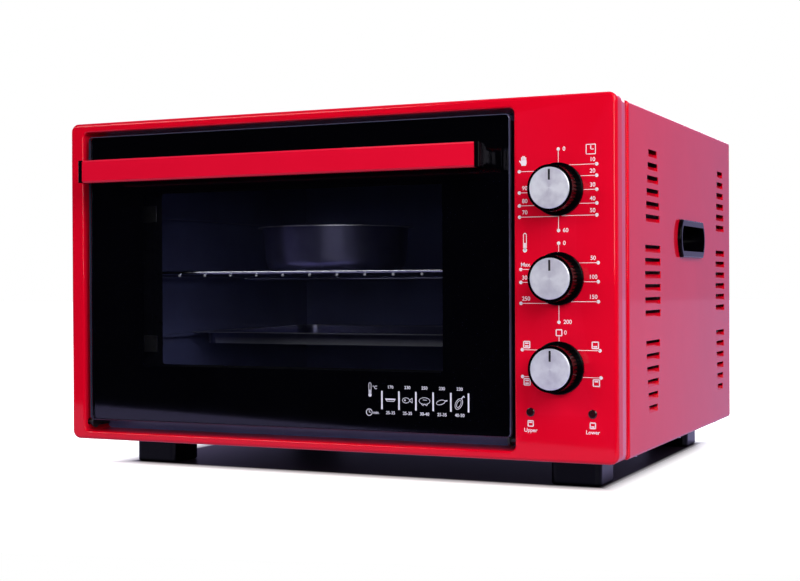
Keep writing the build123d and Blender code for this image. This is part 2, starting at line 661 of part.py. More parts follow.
def cavity_liner():
    """Five walls with a front face plate, rack guides and holes for the heaters and sensor."""
    outer = slab(
        front_outline(grown(CAVITY_X, LINER_SHEET), grown(CAVITY_Z, LINER_SHEET), CAVITY_CORNER + LINER_SHEET),
        (FACE_Y, CAVITY_REAR + LINER_SHEET),
    )
    plate_edge = FRAME_SHEET + SEAT_GAP
    plate_x = (plate_edge + FRAME_DRAW - FRAME_SIDE, APERTURE_X[1] + FRAME_SHEET + FRAME_RETURN)
    plate_z = (plate_edge, FRAME_HEIGHT - FRAME_DRAW - plate_edge)
    plate = slab(front_outline(plate_x, plate_z, FRAME_CORNER), (FACE_Y, FACE_Y + LINER_SHEET))
    inside = slab(front_outline(CAVITY_X, CAVITY_Z, CAVITY_CORNER), (FACE_Y - 1, CAVITY_REAR))
    guides = []
    for top in (TRAY_GUIDE, RACK_GUIDE, SPARE_GUIDE):
        guide = block(
            (CAVITY_X[0] - LINER_SHEET / 2, CAVITY_X[0] + GUIDE_REACH),
            (GUIDE_START, GUIDE_END),
            (top - GUIDE_THICKNESS, top),
        )
        guides += [guide, mirrored_in_door(guide)]
    wall = grown((CAVITY_X[1], CAVITY_X[1] + LINER_SHEET), 1)
    holes = [rod_x(wall, y, z, INSULATOR_RADIUS) for y, z in ELEMENT_LEGS]
    holes.append(rod_x(wall, CAPILLARY_CROSSING_Y, BULB_Z, 2 * CAPILLARY_RADIUS))
    return outer + plate - inside + guides - holes


def liner_supports():
    """Two hat-section rails that carry the cavity on the floor plate."""
    z = (FLOOR_TOP, CAVITY_Z[0] - LINER_SHEET)
    rails = []
    for y in (ELEMENT_FRONT_Y, ELEMENT_REAR_Y):
        rail = block(grown(CAVITY_X, -CAVITY_CORNER), (y - 15, y + 15), z)
        rail -= block(grown(CAVITY_X, 1), (y - 14, y + 14), (z[0] - 1, z[1] - PANEL_SHEET))
        rails.append(rail)
    return rails


def heat_shield():
    """Sheet between the cavity and the controls, flanged onto the face plate and the floor."""
    y = (FRAME_DEPTH - FRAME_SHEET, CAVITY_REAR)
    z = (FLOOR_TOP, CAVITY_Z[1] + SHIELD_TOP_GAP)
    sheet = block((SHIELD_X, SHIELD_X + SHIELD_SHEET), y, z)
    front_flange = block((SHIELD_X, SHIELD_X + SHIELD_FLANGE), (y[0], y[0] + SHIELD_SHEET), z)
    floor_flange = block((SHIELD_X, SHIELD_X + SHIELD_FLANGE), y, (z[0], z[0] + SHIELD_SHEET))
    wall = grown((SHIELD_X, SHIELD_X + SHIELD_SHEET), 1)
    holes = [rod_x(wall, leg_y, leg_z, INSULATOR_FLANGE) for leg_y, leg_z in ELEMENT_LEGS]
    holes.append(rod_x(wall, CAPILLARY_CROSSING_Y, BULB_Z, 4 * CAPILLARY_RADIUS))
    frame_flange_room = block(
        grown((SHIELD_X, SHIELD_X + SHIELD_FLANGE), 1),
        (y[0] - 1, FRAME_DEPTH + SEAT_GAP),
        (z[0] - 1, FRAME_RETURN + SEAT_GAP),
    )
    return sheet + front_flange + floor_flange - holes - frame_flange_room


def heating_element(z):
    """Bent tubular heater with a connection tab on each cold end."""
    tail_x = CAVITY_X[1] + ELEMENT_TAIL
    far_x = CAVITY_X[0] + ELEMENT_END_GAP
    points = [
        (tail_x, ELEMENT_FRONT_Y, z),
        (far_x, ELEMENT_FRONT_Y, z),
        (far_x, ELEMENT_REAR_Y, z),
        (tail_x, ELEMENT_REAR_Y, z),
    ]
    element = bent_tube(points, ELEMENT_RADIUS, ELEMENT_BEND)
    for y in (ELEMENT_FRONT_Y, ELEMENT_REAR_Y):
        element += rod_x((tail_x - 1, tail_x + 4), y, z, ELEMENT_RADIUS / 2)
        element += block(
            (tail_x + 3, tail_x + 3 + TAB_LENGTH),
            (y - TAB_WIDTH / 2, y + TAB_WIDTH / 2),
            (z - TAB_THICKNESS / 2, z + TAB_THICKNESS / 2),
        )
    return element


def element_insulators():
    """Ceramic bushes that seat the heaters in the cavity's right wall."""
    wall = CAVITY_X[1] + LINER_SHEET
    bushes = []
    for y, z in ELEMENT_LEGS:
        bush = rod_x((CAVITY_X[1], wall), y, z, INSULATOR_RADIUS)
        bush += rod_x((wall, wall + INSULATOR_FLANGE_THICKNESS), y, z, INSULATOR_FLANGE)
        bushes.append(bush - rod_x(grown((CAVITY_X[1], wall), 8), y, z, ELEMENT_RADIUS))
    return bushes


def element_clips():
    """Saddles that hold the heaters to the cavity's roof and floor."""
    clips = []
    for y, z in ELEMENT_LEGS:
        upper = z > sum(CAVITY_Z) / 2
        reach = ELEMENT_RADIUS + CLIP_MARGIN
        z_limits = (z - reach, CAVITY_Z[1]) if upper else (CAVITY_Z[0], z + reach)
        clip = block(
            (CLIP_X - CLIP_WIDTH / 2, CLIP_X + CLIP_WIDTH / 2), (y - reach, y + reach), z_limits
        )
        clips.append(clip - rod_x((CLIP_X - CLIP_WIDTH, CLIP_X + CLIP_WIDTH), y, z, ELEMENT_RADIUS))
    return clips


def thermostat_sensor():
    """Bulb beside the cavity wall and its capillary back to the thermostat."""
    bulb = rod_y(BULB_X, (BULB_FRONT_Y, BULB_FRONT_Y + BULB_LENGTH), BULB_Z, BULB_RADIUS)
    unit_rear = FRAME_SHEET + THERMOSTAT_UNIT_DEPTH
    points = [
        (BULB_X, BULB_FRONT_Y + 1, BULB_Z),
        (BULB_X, CAPILLARY_CROSSING_Y, BULB_Z),
        (KNOB_X, CAPILLARY_CROSSING_Y, BULB_Z),
        (KNOB_X, CAPILLARY_CROSSING_Y, KNOB_Z["thermostat"]),
        (KNOB_X, unit_rear, KNOB_Z["thermostat"]),
    ]
    bends = (BULB_WALL_GAP - CAPILLARY_RADIUS, 20, 20)
    path = FilletPolyline(*points, radius=bends)
    section = Plane(origin=path @ 0, z_dir=path % 0) * Circle(CAPILLARY_RADIUS)
    return bulb + sweep(section, path=path)


def sensor_clips():
    """Two brackets that hold the bulb off the wall."""
    clips = []
    for share in (0.2, 0.8):
        y = BULB_FRONT_Y + share * BULB_LENGTH
        reach = BULB_RADIUS + CLIP_MARGIN / 2
        clip = block((BULB_X - reach, CAVITY_X[1]), (y - 4, y + 4), (BULB_Z - reach, BULB_Z + reach))
        clips.append(clip - rod_y(BULB_X, (y - 5, y + 5), BULB_Z, BULB_RADIUS))
    return clips


# Control pieces

def unit_screw_places():
    """The X places of the two screws that hold a control unit."""
    return (KNOB_X - UNIT_SCREW_SPACING / 2, KNOB_X + UNIT_SCREW_SPACING / 2)


def control_unit(knob_z, width, depth):
    """A control's case, mounting plate and bush, bored for its shaft."""
    y = (FRAME_SHEET, FRAME_SHEET + UNIT_PLATE)
    half_plate = UNIT_PLATE_WIDTH / 2
    half = width / 2
    unit = block((KNOB_X - half_plate, KNOB_X + half_plate), y, (knob_z - 12, knob_z + 12))
    case = block((KNOB_X - half, KNOB_X + half), (y[1], depth), (knob_z - half, knob_z + half))
    unit += fillet(case.edges().filter_by(Axis.Y), 3)
    unit += rod_y(KNOB_X, (0, y[1]), knob_z, BUSH_RADIUS)
    bore = rod_y(KNOB_X, (-1, depth / 2), knob_z, SHAFT_RADIUS + SHAFT_CLEARANCE)
    screws = [rod_y(x, (0, SCREW_LENGTH), knob_z, SCREW_RADIUS) for x in unit_screw_places()]
    return unit - bore - screws


def rear_tabs(knob_z, depth, offsets):
    """Connection tabs on the back of a control unit."""
    tabs = []
    for dx, dz in offsets:
        tabs.append(
            block(
                (KNOB_X + dx - TAB_WIDTH / 2, KNOB_X + dx + TAB_WIDTH / 2),
                (depth - 1, depth + TAB_LENGTH),
                (knob_z + dz - TAB_THICKNESS / 2, knob_z + dz + TAB_THICKNESS / 2),
            )
        )
    return tabs


TIMER_TABS = [(-12, 14), (12, 14)]
THERMOSTAT_TABS = [(-12, 12), (12, 12)]
SELECTOR_TABS = [(-12, 14), (12, 14), (-12, 0), (12, 0), (-12, -14), (12, -14)]


def timer_unit():
    unit = control_unit(KNOB_Z["timer"], TIMER_UNIT_WIDTH, TIMER_UNIT_DEPTH)
    return unit + rear_tabs(KNOB_Z["timer"], TIMER_UNIT_DEPTH, TIMER_TABS)


def thermostat_unit():
    z = KNOB_Z["thermostat"]
    unit = control_unit(z, THERMOSTAT_UNIT_WIDTH, THERMOSTAT_UNIT_DEPTH)
    outlet = rod_y(KNOB_X, (THERMOSTAT_UNIT_DEPTH - 1, FRAME_SHEET + THERMOSTAT_UNIT_DEPTH), z, 5)
    return unit + outlet + rear_tabs(z, THERMOSTAT_UNIT_DEPTH, THERMOSTAT_TABS)


def selector_unit():
    unit = control_unit(KNOB_Z["selector"], SELECTOR_UNIT_WIDTH, SELECTOR_UNIT_DEPTH)
    return unit + rear_tabs(KNOB_Z["selector"], SELECTOR_UNIT_DEPTH, SELECTOR_TABS)


def control_screws():
    """Two screws behind each knob hold its unit to the panel."""
    screws = []
    for knob_z in KNOB_Z.values():
        for x in unit_screw_places():
            screws.append(screw_y(x, 0, knob_z, SCREW_LENGTH))
    return screws


def knob(knob_z):
    """Fluted knob with a smooth collar and a skirt, hollow behind, with a hub for the shaft."""
    skirt = rod_y(KNOB_X, (-KNOB_GAP - SKIRT_THICKNESS, -KNOB_GAP), knob_z, SKIRT_RADIUS)
    skirt = fillet(skirt.faces().sort_by(Axis.Y)[0].edges(), SKIRT_THICKNESS / 3)
    outline = Circle(KNOB_RADIUS)
    for index in range(KNOB_FLUTES):
        angle = radians(360 / KNOB_FLUTES * index)
        outline -= Pos(KNOB_RADIUS * cos(angle), KNOB_RADIUS * sin(angle)) * Circle(KNOB_FLUTE_RADIUS)
    body = slab(Pos(KNOB_X, knob_z) * outline, (KNOB_FRONT_Y, -KNOB_GAP - SKIRT_THICKNESS))
    body += rod_y(KNOB_X, (KNOB_FRONT_Y, KNOB_FRONT_Y + KNOB_COLLAR), knob_z, KNOB_RADIUS)
    hollow = rod_y(KNOB_X, (KNOB_FRONT_Y + KNOB_WALL, 0), knob_z, KNOB_RADIUS - KNOB_WALL)
    hub = rod_y(KNOB_X, (KNOB_FRONT_Y + KNOB_WALL - 1, -KNOB_GAP), knob_z, KNOB_HUB_RADIUS)
    bore = rod_y(KNOB_X, (KNOB_FRONT_Y + KNOB_WALL, 0), knob_z, SHAFT_RADIUS)
    return skirt + body - hollow + hub - bore


def knob_cap(knob_z):
    """Thin metal disc on the knob's face with a pointer groove towards zero."""
    y = (KNOB_FRONT_Y - CAP_THICKNESS, KNOB_FRONT_Y)
    disc = rod_y(KNOB_X, y, knob_z, CAP_RADIUS)
    disc = chamfer(disc.faces().sort_by(Axis.Y)[0].edges(), CAP_THICKNESS / 3)
    groove = block(
        (KNOB_X - POINTER_WIDTH / 2, KNOB_X + POINTER_WIDTH / 2),
        (y[0] - 1, y[0] + POINTER_DEPTH),
        (knob_z + POINTER_INNER, knob_z + POINTER_OUTER),
    )
    return disc - groove


def knob_shaft(knob_z, unit_depth):
    """Shaft from the knob's hub into the bore of its unit."""
    y = (KNOB_FRONT_Y + KNOB_WALL, unit_depth / 2 - SEAT_GAP)
    return rod_y(KNOB_X, y, knob_z, SHAFT_RADIUS)


def indicator_lamps():
    """Two small lenses pressed into the panel."""
    lamps = []
    for x in LAMP_X:
        lens = rod_y(x, (-LAMP_PROUD, 0), LAMP_Z, LAMP_RADIUS)
        lens = fillet(lens.faces().sort_by(Axis.Y)[0].edges(), LAMP_PROUD * 0.6)
        lamps.append(lens + rod_y(x, (0, LAMP_LENGTH), LAMP_Z, LAMP_BODY_RADIUS))
    return lamps


def terminal_block():
    """Block on the floor plate where the mains lead would end."""
    length, width, height = TERMINAL_BLOCK
    body = block(
        (GLAND_X - length / 2, GLAND_X + length / 2),
        (TERMINAL_BLOCK_Y - width / 2, TERMINAL_BLOCK_Y + width / 2),
        (FLOOR_TOP, FLOOR_TOP + height),
    )
    for dx in (-13, 0, 13):
        body -= rod_z(GLAND_X + dx, TERMINAL_BLOCK_Y, (FLOOR_TOP + height - 5, FLOOR_TOP + height + 1), 3)
    return body


def cord_gland():
    """Bush in the back plate through which a mains lead would enter."""
    y = (CASING_REAR - GLAND_INSIDE, BODY_DEPTH + GLAND_REACH)
    bush = rod_y(GLAND_X, y, GLAND_Z, GLAND_RADIUS)
    bush += rod_y(GLAND_X, (BODY_DEPTH, BODY_DEPTH + GLAND_REACH / 2), GLAND_Z, GLAND_FLANGE_RADIUS)
    return bush - rod_y(GLAND_X, grown(y, 1), GLAND_Z, GLAND_BORE_RADIUS)


def wiring():
    """Leads between the terminal block, the controls and the heaters."""
    block_top = FLOOR_TOP + TERMINAL_BLOCK[2]
    selector_y = SELECTOR_UNIT_DEPTH + TAB_LENGTH
    timer_y = TIMER_UNIT_DEPTH + TAB_LENGTH
    thermostat_y = THERMOSTAT_UNIT_DEPTH + TAB_LENGTH
    tail_x = CAVITY_X[1] + ELEMENT_TAIL + 3 + TAB_LENGTH
    trunk_y = ELEMENT_FRONT_Y - TRUNK_GAP
    selector_z = KNOB_Z["selector"]
    timer_z = KNOB_Z["timer"]
    thermostat_z = KNOB_Z["thermostat"]
    routes = [
        [
            (GLAND_X + 13, TERMINAL_BLOCK_Y, block_top),
            (GLAND_X + 13, TERMINAL_BLOCK_Y, block_top + WIRE_LOOP),
            (KNOB_X + WIRE_SIDE_SHIFT, trunk_y, block_top + WIRE_LOOP + WIRE_BEND),
            (KNOB_X + 12, trunk_y - 15, selector_z - 14),
            (KNOB_X + 12, selector_y, selector_z - 14),
        ],
        [
            (GLAND_X, TERMINAL_BLOCK_Y, block_top),
            (GLAND_X, TERMINAL_BLOCK_Y, block_top + 2 * WIRE_LOOP),
            (KNOB_X + WIRE_SIDE_SHIFT + WIRE_BEND, ELEMENT_FRONT_Y, thermostat_z),
            (KNOB_X + 12, trunk_y, timer_z + 14),
            (KNOB_X + 12, timer_y, timer_z + 14),
        ],
        [
            (KNOB_X - 12, timer_y, timer_z + 14),
            (KNOB_X - 12, timer_y + WIRE_LOOP, timer_z + 14),
            (KNOB_X - 12, timer_y + WIRE_LOOP, thermostat_z + 12),
            (KNOB_X - 12, thermostat_y, thermostat_z + 12),
        ],
        [
            (KNOB_X + 12, thermostat_y, thermostat_z + 12),
            (KNOB_X + 12, thermostat_y + WIRE_LOOP, thermostat_z + 12),
            (KNOB_X + 12, thermostat_y + WIRE_LOOP, selector_z + 14),
            (KNOB_X + 12, selector_y, selector_z + 14),
        ],
        [
            (KNOB_X - 12, selector_y, selector_z),
            (KNOB_X - 12, ELEMENT_FRONT_Y, selector_z),
            (KNOB_X - 12, ELEMENT_FRONT_Y, LOWER_ELEMENT_Z),
            (tail_x, ELEMENT_FRONT_Y, LOWER_ELEMENT_Z),
        ],
    ]
    return [bent_tube(route, WIRE_RADIUS, WIRE_BEND) for route in routes]


# Door pieces

def door_glass_outer():
    """Front pane of the door, drilled for the handle screws."""
    pane = slab(front_outline(GLASS_X, GLASS_Z, GLASS_CORNER), GLASS_Y)
    pane = chamfer(pane.faces().sort_by(Axis.Y)[0].edges(), GLASS_CHAMFER)
    holes = [rod_y(x, grown(GLASS_Y, 1), HANDLE_Z, HANDLE_SCREW_RADIUS + 0.5) for x in handle_screw_places()]
    return pane - holes


def door_frame():
    """Sheet carrier: a shallow box with a wide window through both faces."""
    outer = slab(front_outline(DOOR_X, DOOR_Z, GLASS_CORNER), DOOR_Y)
    hollow = block(grown(DOOR_X, -DOOR_SHEET), grown(DOOR_Y, -DOOR_SHEET), grown(DOOR_Z, -DOOR_SHEET))
    front_window = block(
        grown(DOOR_X, -DOOR_FRONT_FLANGE),
        (DOOR_Y[0] - 1, sum(DOOR_Y) / 2),
        grown(DOOR_Z, -DOOR_FRONT_FLANGE),
    )
    rear_window = slab(front_outline(WINDOW_X, WINDOW_Z, WINDOW_CORNER), (sum(DOOR_Y) / 2, DOOR_Y[1] + 1))
    frame = outer - hollow - front_window - rear_window
    front_sheet = (DOOR_Y[0] - 1, DOOR_Y[0] + 2 * DOOR_SHEET)
    holes = [rod_y(x, front_sheet, HANDLE_Z, HANDLE_SCREW_RADIUS) for x in handle_screw_places()]
    side = grown((DOOR_X[0], DOOR_X[0] + DOOR_SHEET), 1)
    for y, z in hinge_screw_places():
        hole = rod_x(side, y, z, SCREW_RADIUS)
        holes += [hole, mirrored_in_door(hole)]
    return frame - holes


def door_glass_inner():
    """Rear pane, lapped over the window inside the carrier."""
    return slab(
        front_outline(grown(WINDOW_X, INNER_GLASS_LAP), grown(WINDOW_Z, INNER_GLASS_LAP), GLASS_CORNER),
        INNER_GLASS_Y,
    )


def inner_glass_clips():
    """Four bent clips that press the inner pane against the carrier's rear sheet."""
    glass_x = grown(WINDOW_X, INNER_GLASS_LAP)
    clips = []
    for z in (WINDOW_Z[0] + 20, WINDOW_Z[1] - 20):
        base = block((glass_x[0] - 14, glass_x[0] - 0.5), INNER_GLASS_Y, (z - 8, z + 8))
        tongue_y = (INNER_GLASS_Y[0] - 1.5, INNER_GLASS_Y[0])
        tongue = block((glass_x[0] - 14, glass_x[0] + 6), tongue_y, (z - 8, z + 8))
        clip = base + tongue
        clips += [clip, mirror(clip, about=Plane.YZ.offset(sum(glass_x) / 2))]
    return clips


def hinge_screw_places():
    """The side-view places of the screws that hold a lug to the carrier."""
    y = sum(DOOR_Y) / 2
    return [(y, HINGE_LUG_HEIGHT - 8), (y, DOOR_Z[0] + 10)]


def hinge_lug():
    """Left-hand plate on the door's side that carries the hinge pin below the glass."""
    boss = Pos(HINGE_AXIS_Y, HINGE_AXIS_Z) * Circle(HINGE_BOSS_RADIUS)
    top = HINGE_LUG_HEIGHT
    bottom = HINGE_AXIS_Z - HINGE_BOSS_RADIUS + 2
    rear = DOOR_Y[1] - 8
    arm = Pos((HINGE_AXIS_Y + rear) / 2, (top + bottom) / 2) * Rectangle(rear - HINGE_AXIS_Y, top - bottom)
    glass_room = Pos(GLASS_Y[1] + SEAT_GAP, GLASS_Z[0] - SEAT_GAP) * Rectangle(
        4 * HINGE_BOSS_RADIUS, top, align=(Align.MAX, Align.MIN)
    )
    x = (DOOR_X[0] - HINGE_LUG_THICKNESS, DOOR_X[0])
    lug = side_slab(boss + arm - glass_room, x)
    lug -= rod_x(grown(x, 1), HINGE_AXIS_Y, HINGE_AXIS_Z, HINGE_PIN_RADIUS)
    return lug - [rod_x(grown(x, 1), y, z, SCREW_RADIUS) for y, z in hinge_screw_places()]


def hinge_screws():
    """Screws through the lugs into the carrier's sides."""
    screws = []
    face = DOOR_X[0] - HINGE_LUG_THICKNESS
    for y, z in hinge_screw_places():
        screw = rod_x((face - SCREW_HEAD, face), y, z, SCREW_HEAD_RADIUS)
        screw += rod_x((face, DOOR_X[0] + HINGE_SCREW_REACH), y, z, SCREW_RADIUS)
        screws += [screw, mirrored_in_door(screw)]
    return screws


def hinge_pins():
    """Pins pressed into the lugs, turning in the brackets behind the opening's lip."""
    tip = APERTURE_X[0] - FRAME_SHEET - HINGE_PLATE - SPRING_PITCH * SPRING_TURNS - 2 * SPRING_WIRE
    pin = rod_x((tip, DOOR_X[0]), HINGE_AXIS_Y, HINGE_AXIS_Z, HINGE_PIN_RADIUS)
    return [pin, mirrored_in_door(pin)]


def hinge_bracket():
    """Left-hand plate behind the lip with the pin's bearing hole and a foot on the frame."""
    x = (APERTURE_X[0] - FRAME_SHEET - HINGE_PLATE, APERTURE_X[0] - FRAME_SHEET)
    plate = block(x, (3 * FRAME_SHEET, BRACKET_REAR_Y), (FRAME_SHEET, 3 * HINGE_AXIS_Z))
    foot_y = (BRACKET_REAR_Y - BRACKET_FOOT, BRACKET_REAR_Y)
    base = block((x[0], x[1] + BRACKET_FOOT), foot_y, (FRAME_SHEET, FRAME_SHEET + HINGE_PLATE))
    bearing = rod_x(grown(x, 1), HINGE_AXIS_Y, HINGE_AXIS_Z, HINGE_PIN_RADIUS + HINGE_CLEARANCE)
    return plate + base - bearing


def hinge_springs():
    """Torsion springs wound round the pins, one leg on the bracket and one on the pin."""
    start_x = APERTURE_X[0] - FRAME_SHEET - HINGE_PLATE - (SPRING_WIRE + SPRING_PITCH) / 2
    coil_path = Helix(
        SPRING_PITCH,
        SPRING_PITCH * SPRING_TURNS,
        SPRING_RADIUS,
        center=(start_x, HINGE_AXIS_Y, HINGE_AXIS_Z),
        direction=(-1, 0, 0),
    )
    coil_start = coil_path @ 0
    leg_end = coil_start - (coil_path % 0) * 3 * SPRING_RADIUS
    bracket_leg = Line(leg_end, coil_start)
    section = Plane(origin=leg_end, z_dir=coil_path % 0) * Circle(SPRING_WIRE / 2)
    spring = sweep(section, path=Wire([bracket_leg.edge(), coil_path.edge()]))
    pin_end = coil_path @ 1
    to_axis = Vector(pin_end.X, HINGE_AXIS_Y, HINGE_AXIS_Z) - pin_end
    pin_leg = Plane(origin=pin_end, z_dir=to_axis) * Circle(SPRING_PIN_LEG / 2)
    spring += extrude(pin_leg, SPRING_RADIUS - HINGE_PIN_RADIUS - SEAT_GAP)
    return [spring, mirrored_in_door(spring)]


# Handle pieces

def handle_screw_places():
    """The X places of the two handle screws, in the middle of the handle's legs."""
    inset = HANDLE_CAP + HANDLE_LEG / 2
    return (HANDLE_X[0] + inset, HANDLE_X[1] - inset)


def handle_grip():
    """Flat strip of the handle, bevelled round its front."""
    x = grown(HANDLE_X, -HANDLE_CAP)
    half = HANDLE_HEIGHT / 2
    strip = block(x, HANDLE_Y, (HANDLE_Z - half, HANDLE_Z + half))
    long_edges = strip.edges().filter_by(Axis.X)
    strip = fillet(long_edges.group_by(Axis.Y)[-1], HANDLE_THICKNESS / 3)
    front_edges = strip.edges().filter_by(Axis.X).group_by(Axis.Y)[0]
    return chamfer(front_edges, HANDLE_FRONT_EDGE)


def handle_bracket():
    """Left-hand black end of the handle: an end cap and the leg that stands on the glass."""
    half = HANDLE_HEIGHT / 2
    z = (HANDLE_Z - half, HANDLE_Z + half)
    cap = block((HANDLE_X[0], HANDLE_X[0] + HANDLE_CAP), HANDLE_Y, z)
    cap = fillet(cap.faces().sort_by(Axis.X)[0].edges(), HANDLE_FRONT_EDGE)
    leg_z = (HANDLE_Z - HANDLE_LEG_HEIGHT / 2, HANDLE_Z + HANDLE_LEG_HEIGHT / 2)
    leg_x = (HANDLE_X[0] + HANDLE_CAP, HANDLE_X[0] + HANDLE_CAP + HANDLE_LEG)
    leg = block(leg_x, (HANDLE_Y[1], GLASS_Y[0]), leg_z)
    leg = fillet(leg.edges().filter_by(Axis.Y), 3)
    tie = block((HANDLE_X[0] + 1, leg_x[0] + 6), (HANDLE_Y[1], HANDLE_Y[1] + 5), leg_z)
    cap_rear = block((HANDLE_X[0] + 1, leg_x[0]), (HANDLE_Y[1] - 2, HANDLE_Y[1] + 5), leg_z)
    bore = rod_y(handle_screw_places()[0], (HANDLE_Y[1], GLASS_Y[0] + 1), HANDLE_Z, HANDLE_SCREW_RADIUS)
    return cap + leg + tie + cap_rear - bore


def handle_screws():
    """Screws from inside the door through the carrier and glass into the handle's legs."""
    seat = DOOR_Y[0] + DOOR_SHEET
    screws = []
    for x in handle_screw_places():
        shank = rod_y(x, (HANDLE_Y[1] + 4, seat), HANDLE_Z, HANDLE_SCREW_RADIUS)
        screws.append(shank + rod_y(x, (seat, seat + 3), HANDLE_Z, 2 * HANDLE_SCREW_RADIUS))
    return screws


# Rack, pan and tray

def wire_rack():
    """Border wire with lengthwise wires welded under it."""
    x = grown(RACK_X, -RACK_BORDER_RADIUS)
    y = grown((RACK_FRONT_Y, RACK_REAR_Y), -RACK_BORDER_RADIUS)
    middle_y = sum(y) / 2
    path = FilletPolyline(
        (x[0], y[0], RACK_Z),
        (x[1], y[0], RACK_Z),
        (x[1], y[1], RACK_Z),
        (x[0], y[1], RACK_Z),
        radius=RACK_CORNER,
        close=True,
    )
    section = Plane(origin=path @ 0, z_dir=path % 0) * Circle(RACK_BORDER_RADIUS)
    rack = sweep(section, path=path)
    half_spread = (RACK_WIRES - 1) / 2 * RACK_WIRE_PITCH
    wires_x = grown((DOOR_CENTRE_X, DOOR_CENTRE_X), half_spread)
    wires = []
    for index in range(RACK_WIRES):
        wire_x = wires_x[0] + index * RACK_WIRE_PITCH
        wires.append(rod_y(wire_x, grown(y, RACK_BORDER_RADIUS), RACK_WIRE_Z, RACK_WIRE_RADIUS))
    cross_z = RACK_WIRE_Z - RACK_WIRE_RADIUS - RACK_BORDER_RADIUS + RACK_WELD
    cross = rod_x((wires_x[0], wires_x[1]), middle_y, cross_z, RACK_BORDER_RADIUS)
    return rack + wires + cross


def round_pan():
    """Round baking pan with a rounded base and a flared rim, standing on the rack."""
    base_radius = PAN_RADIUS - PAN_DRAFT
    bottom = PAN_FLOOR
    top = PAN_FLOOR + PAN_HEIGHT
    profile = Polyline(
        (0, bottom),
        (base_radius, bottom),
        (PAN_RADIUS, top - PAN_SHEET),
        (PAN_RADIUS + PAN_RIM, top - PAN_SHEET),
        (PAN_RADIUS + PAN_RIM, top),
        (PAN_RADIUS - PAN_SHEET, top),
        (base_radius - PAN_SHEET, bottom + PAN_SHEET),
        (0, bottom + PAN_SHEET),
        close=True,
    )
    section = make_face(profile)
    for corner, radius in (
        ((base_radius, bottom), PAN_BASE_ROUND),
        ((base_radius - PAN_SHEET, bottom + PAN_SHEET), PAN_BASE_ROUND - PAN_SHEET),
    ):
        section = fillet(section.vertices().sort_by_distance(corner)[0], radius)
    return Pos(PAN_X, PAN_Y, 0) * revolve(Plane.XZ * section, Axis.Z)


def baking_tray():
    """Shallow rectangular tray hung by its rim on the lower guides."""
    x = RACK_X
    y = (TRAY_FRONT_Y, TRAY_FRONT_Y + TRAY_DEPTH)
    rim_z = (TRAY_RIM_Z, TRAY_RIM_Z + TRAY_SHEET)
    rim = rounded_box(x, y, rim_z, TRAY_CORNER)
    pan_x = grown(x, -TRAY_RIM)
    pan_y = grown(y, -TRAY_RIM)
    floor = rim_z[1] - TRAY_HEIGHT
    outer = rounded_box(pan_x, pan_y, (floor, rim_z[1]), TRAY_CORNER)
    inner = rounded_box(
        grown(pan_x, -TRAY_SHEET),
        grown(pan_y, -TRAY_SHEET),
        (floor + TRAY_SHEET, rim_z[1] + 1),
        TRAY_CORNER - TRAY_SHEET,
    )
    return rim + outer - inner


def rounded_box(x, y, z, corner):
    """A box with round upright corners."""
    outline = Pos(sum(x) / 2, sum(y) / 2) * RectangleRounded(x[1] - x[0], y[1] - y[0], corner)
    return Pos(0, 0, z[0]) * extrude(outline, z[1] - z[0])


def save(node, shape):
    """Write one node's solids, set on the oven's feet."""
    solids = []
    for piece in shape if isinstance(shape, list) else [shape]:
        solids += (ON_ITS_FEET * piece).solids()
    export_step(Compound(children=solids) if len(solids) > 1 else solids[0], f"parts/{node}.step")


def main():
    os.makedirs("parts", exist_ok=True)
    nodes = {
        "front_frame": front_frame(),
        "outer_casing": outer_casing(),
        "back_panel": back_panel(),
        "bottom_panel": bottom_panel(),
        "cavity_liner": cavity_liner(),
        "liner_supports": liner_supports(),
        "heat_shield": heat_shield(),
        "upper_element": heating_element(UPPER_ELEMENT_Z),
        "lower_element": heating_element(LOWER_ELEMENT_Z),
        "element_clips": element_clips(),
        "element_insulators": element_insulators(),
        "timer_unit": timer_unit(),
        "thermostat_unit": thermostat_unit(),
        "selector_unit": selector_unit(),
        "thermostat_sensor": thermostat_sensor(),
        "sensor_clips": sensor_clips(),
        "indicator_lamps": indicator_lamps(),
        "terminal_block": terminal_block(),
        "cord_gland": cord_gland(),
        "wiring": wiring(),
        "side_grip_right": side_grip(),
        "side_grip_left": mirrored_in_cabinet(side_grip()),
        "hinge_bracket_left": hinge_bracket(),
        "hinge_bracket_right": mirrored_in_door(hinge_bracket()),
        "hinge_springs": hinge_springs(),
        "control_screws": control_screws(),
        "back_screws": back_screws(),
        "bottom_screws": bottom_screws(),
        "foot_screws": foot_screws(),
        "door_glass_outer": door_glass_outer(),
        "door_frame": door_frame(),
        "door_glass_inner": door_glass_inner(),
        "inner_glass_clips": inner_glass_clips(),
        "hinge_lug_left": hinge_lug(),
        "hinge_lug_right": mirrored_in_door(hinge_lug()),
        "hinge_pins": hinge_pins(),
        "hinge_screws": hinge_screws(),
        "handle_grip": handle_grip(),
        "handle_bracket_left": handle_bracket(),
        "handle_bracket_right": mirrored_in_door(handle_bracket()),
        "handle_screws": handle_screws(),
        "wire_rack": wire_rack(),
        "round_pan": round_pan(),
        "baking_tray": baking_tray(),
    }
    for node, (x, y) in FEET.items():
        nodes[node] = foot(x, y)
    unit_depths = {
        "timer": TIMER_UNIT_DEPTH,
        "thermostat": THERMOSTAT_UNIT_DEPTH,
        "selector": SELECTOR_UNIT_DEPTH,
    }
    for control, knob_z in KNOB_Z.items():
        nodes[f"{control}_knob"] = knob(knob_z)
        nodes[f"{control}_knob_cap"] = knob_cap(knob_z)
        nodes[f"{control}_shaft"] = knob_shaft(knob_z, unit_depths[control])
    for node, shape in nodes.items():
        save(node, shape)


main()
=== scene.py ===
# Looks of a mini oven: a material for every CAD node, the printed marks, stage, light and camera.
# Metres, in the frame of the CAD model. Sizes of the printed marks are in millimetres on the front.
import json
import math

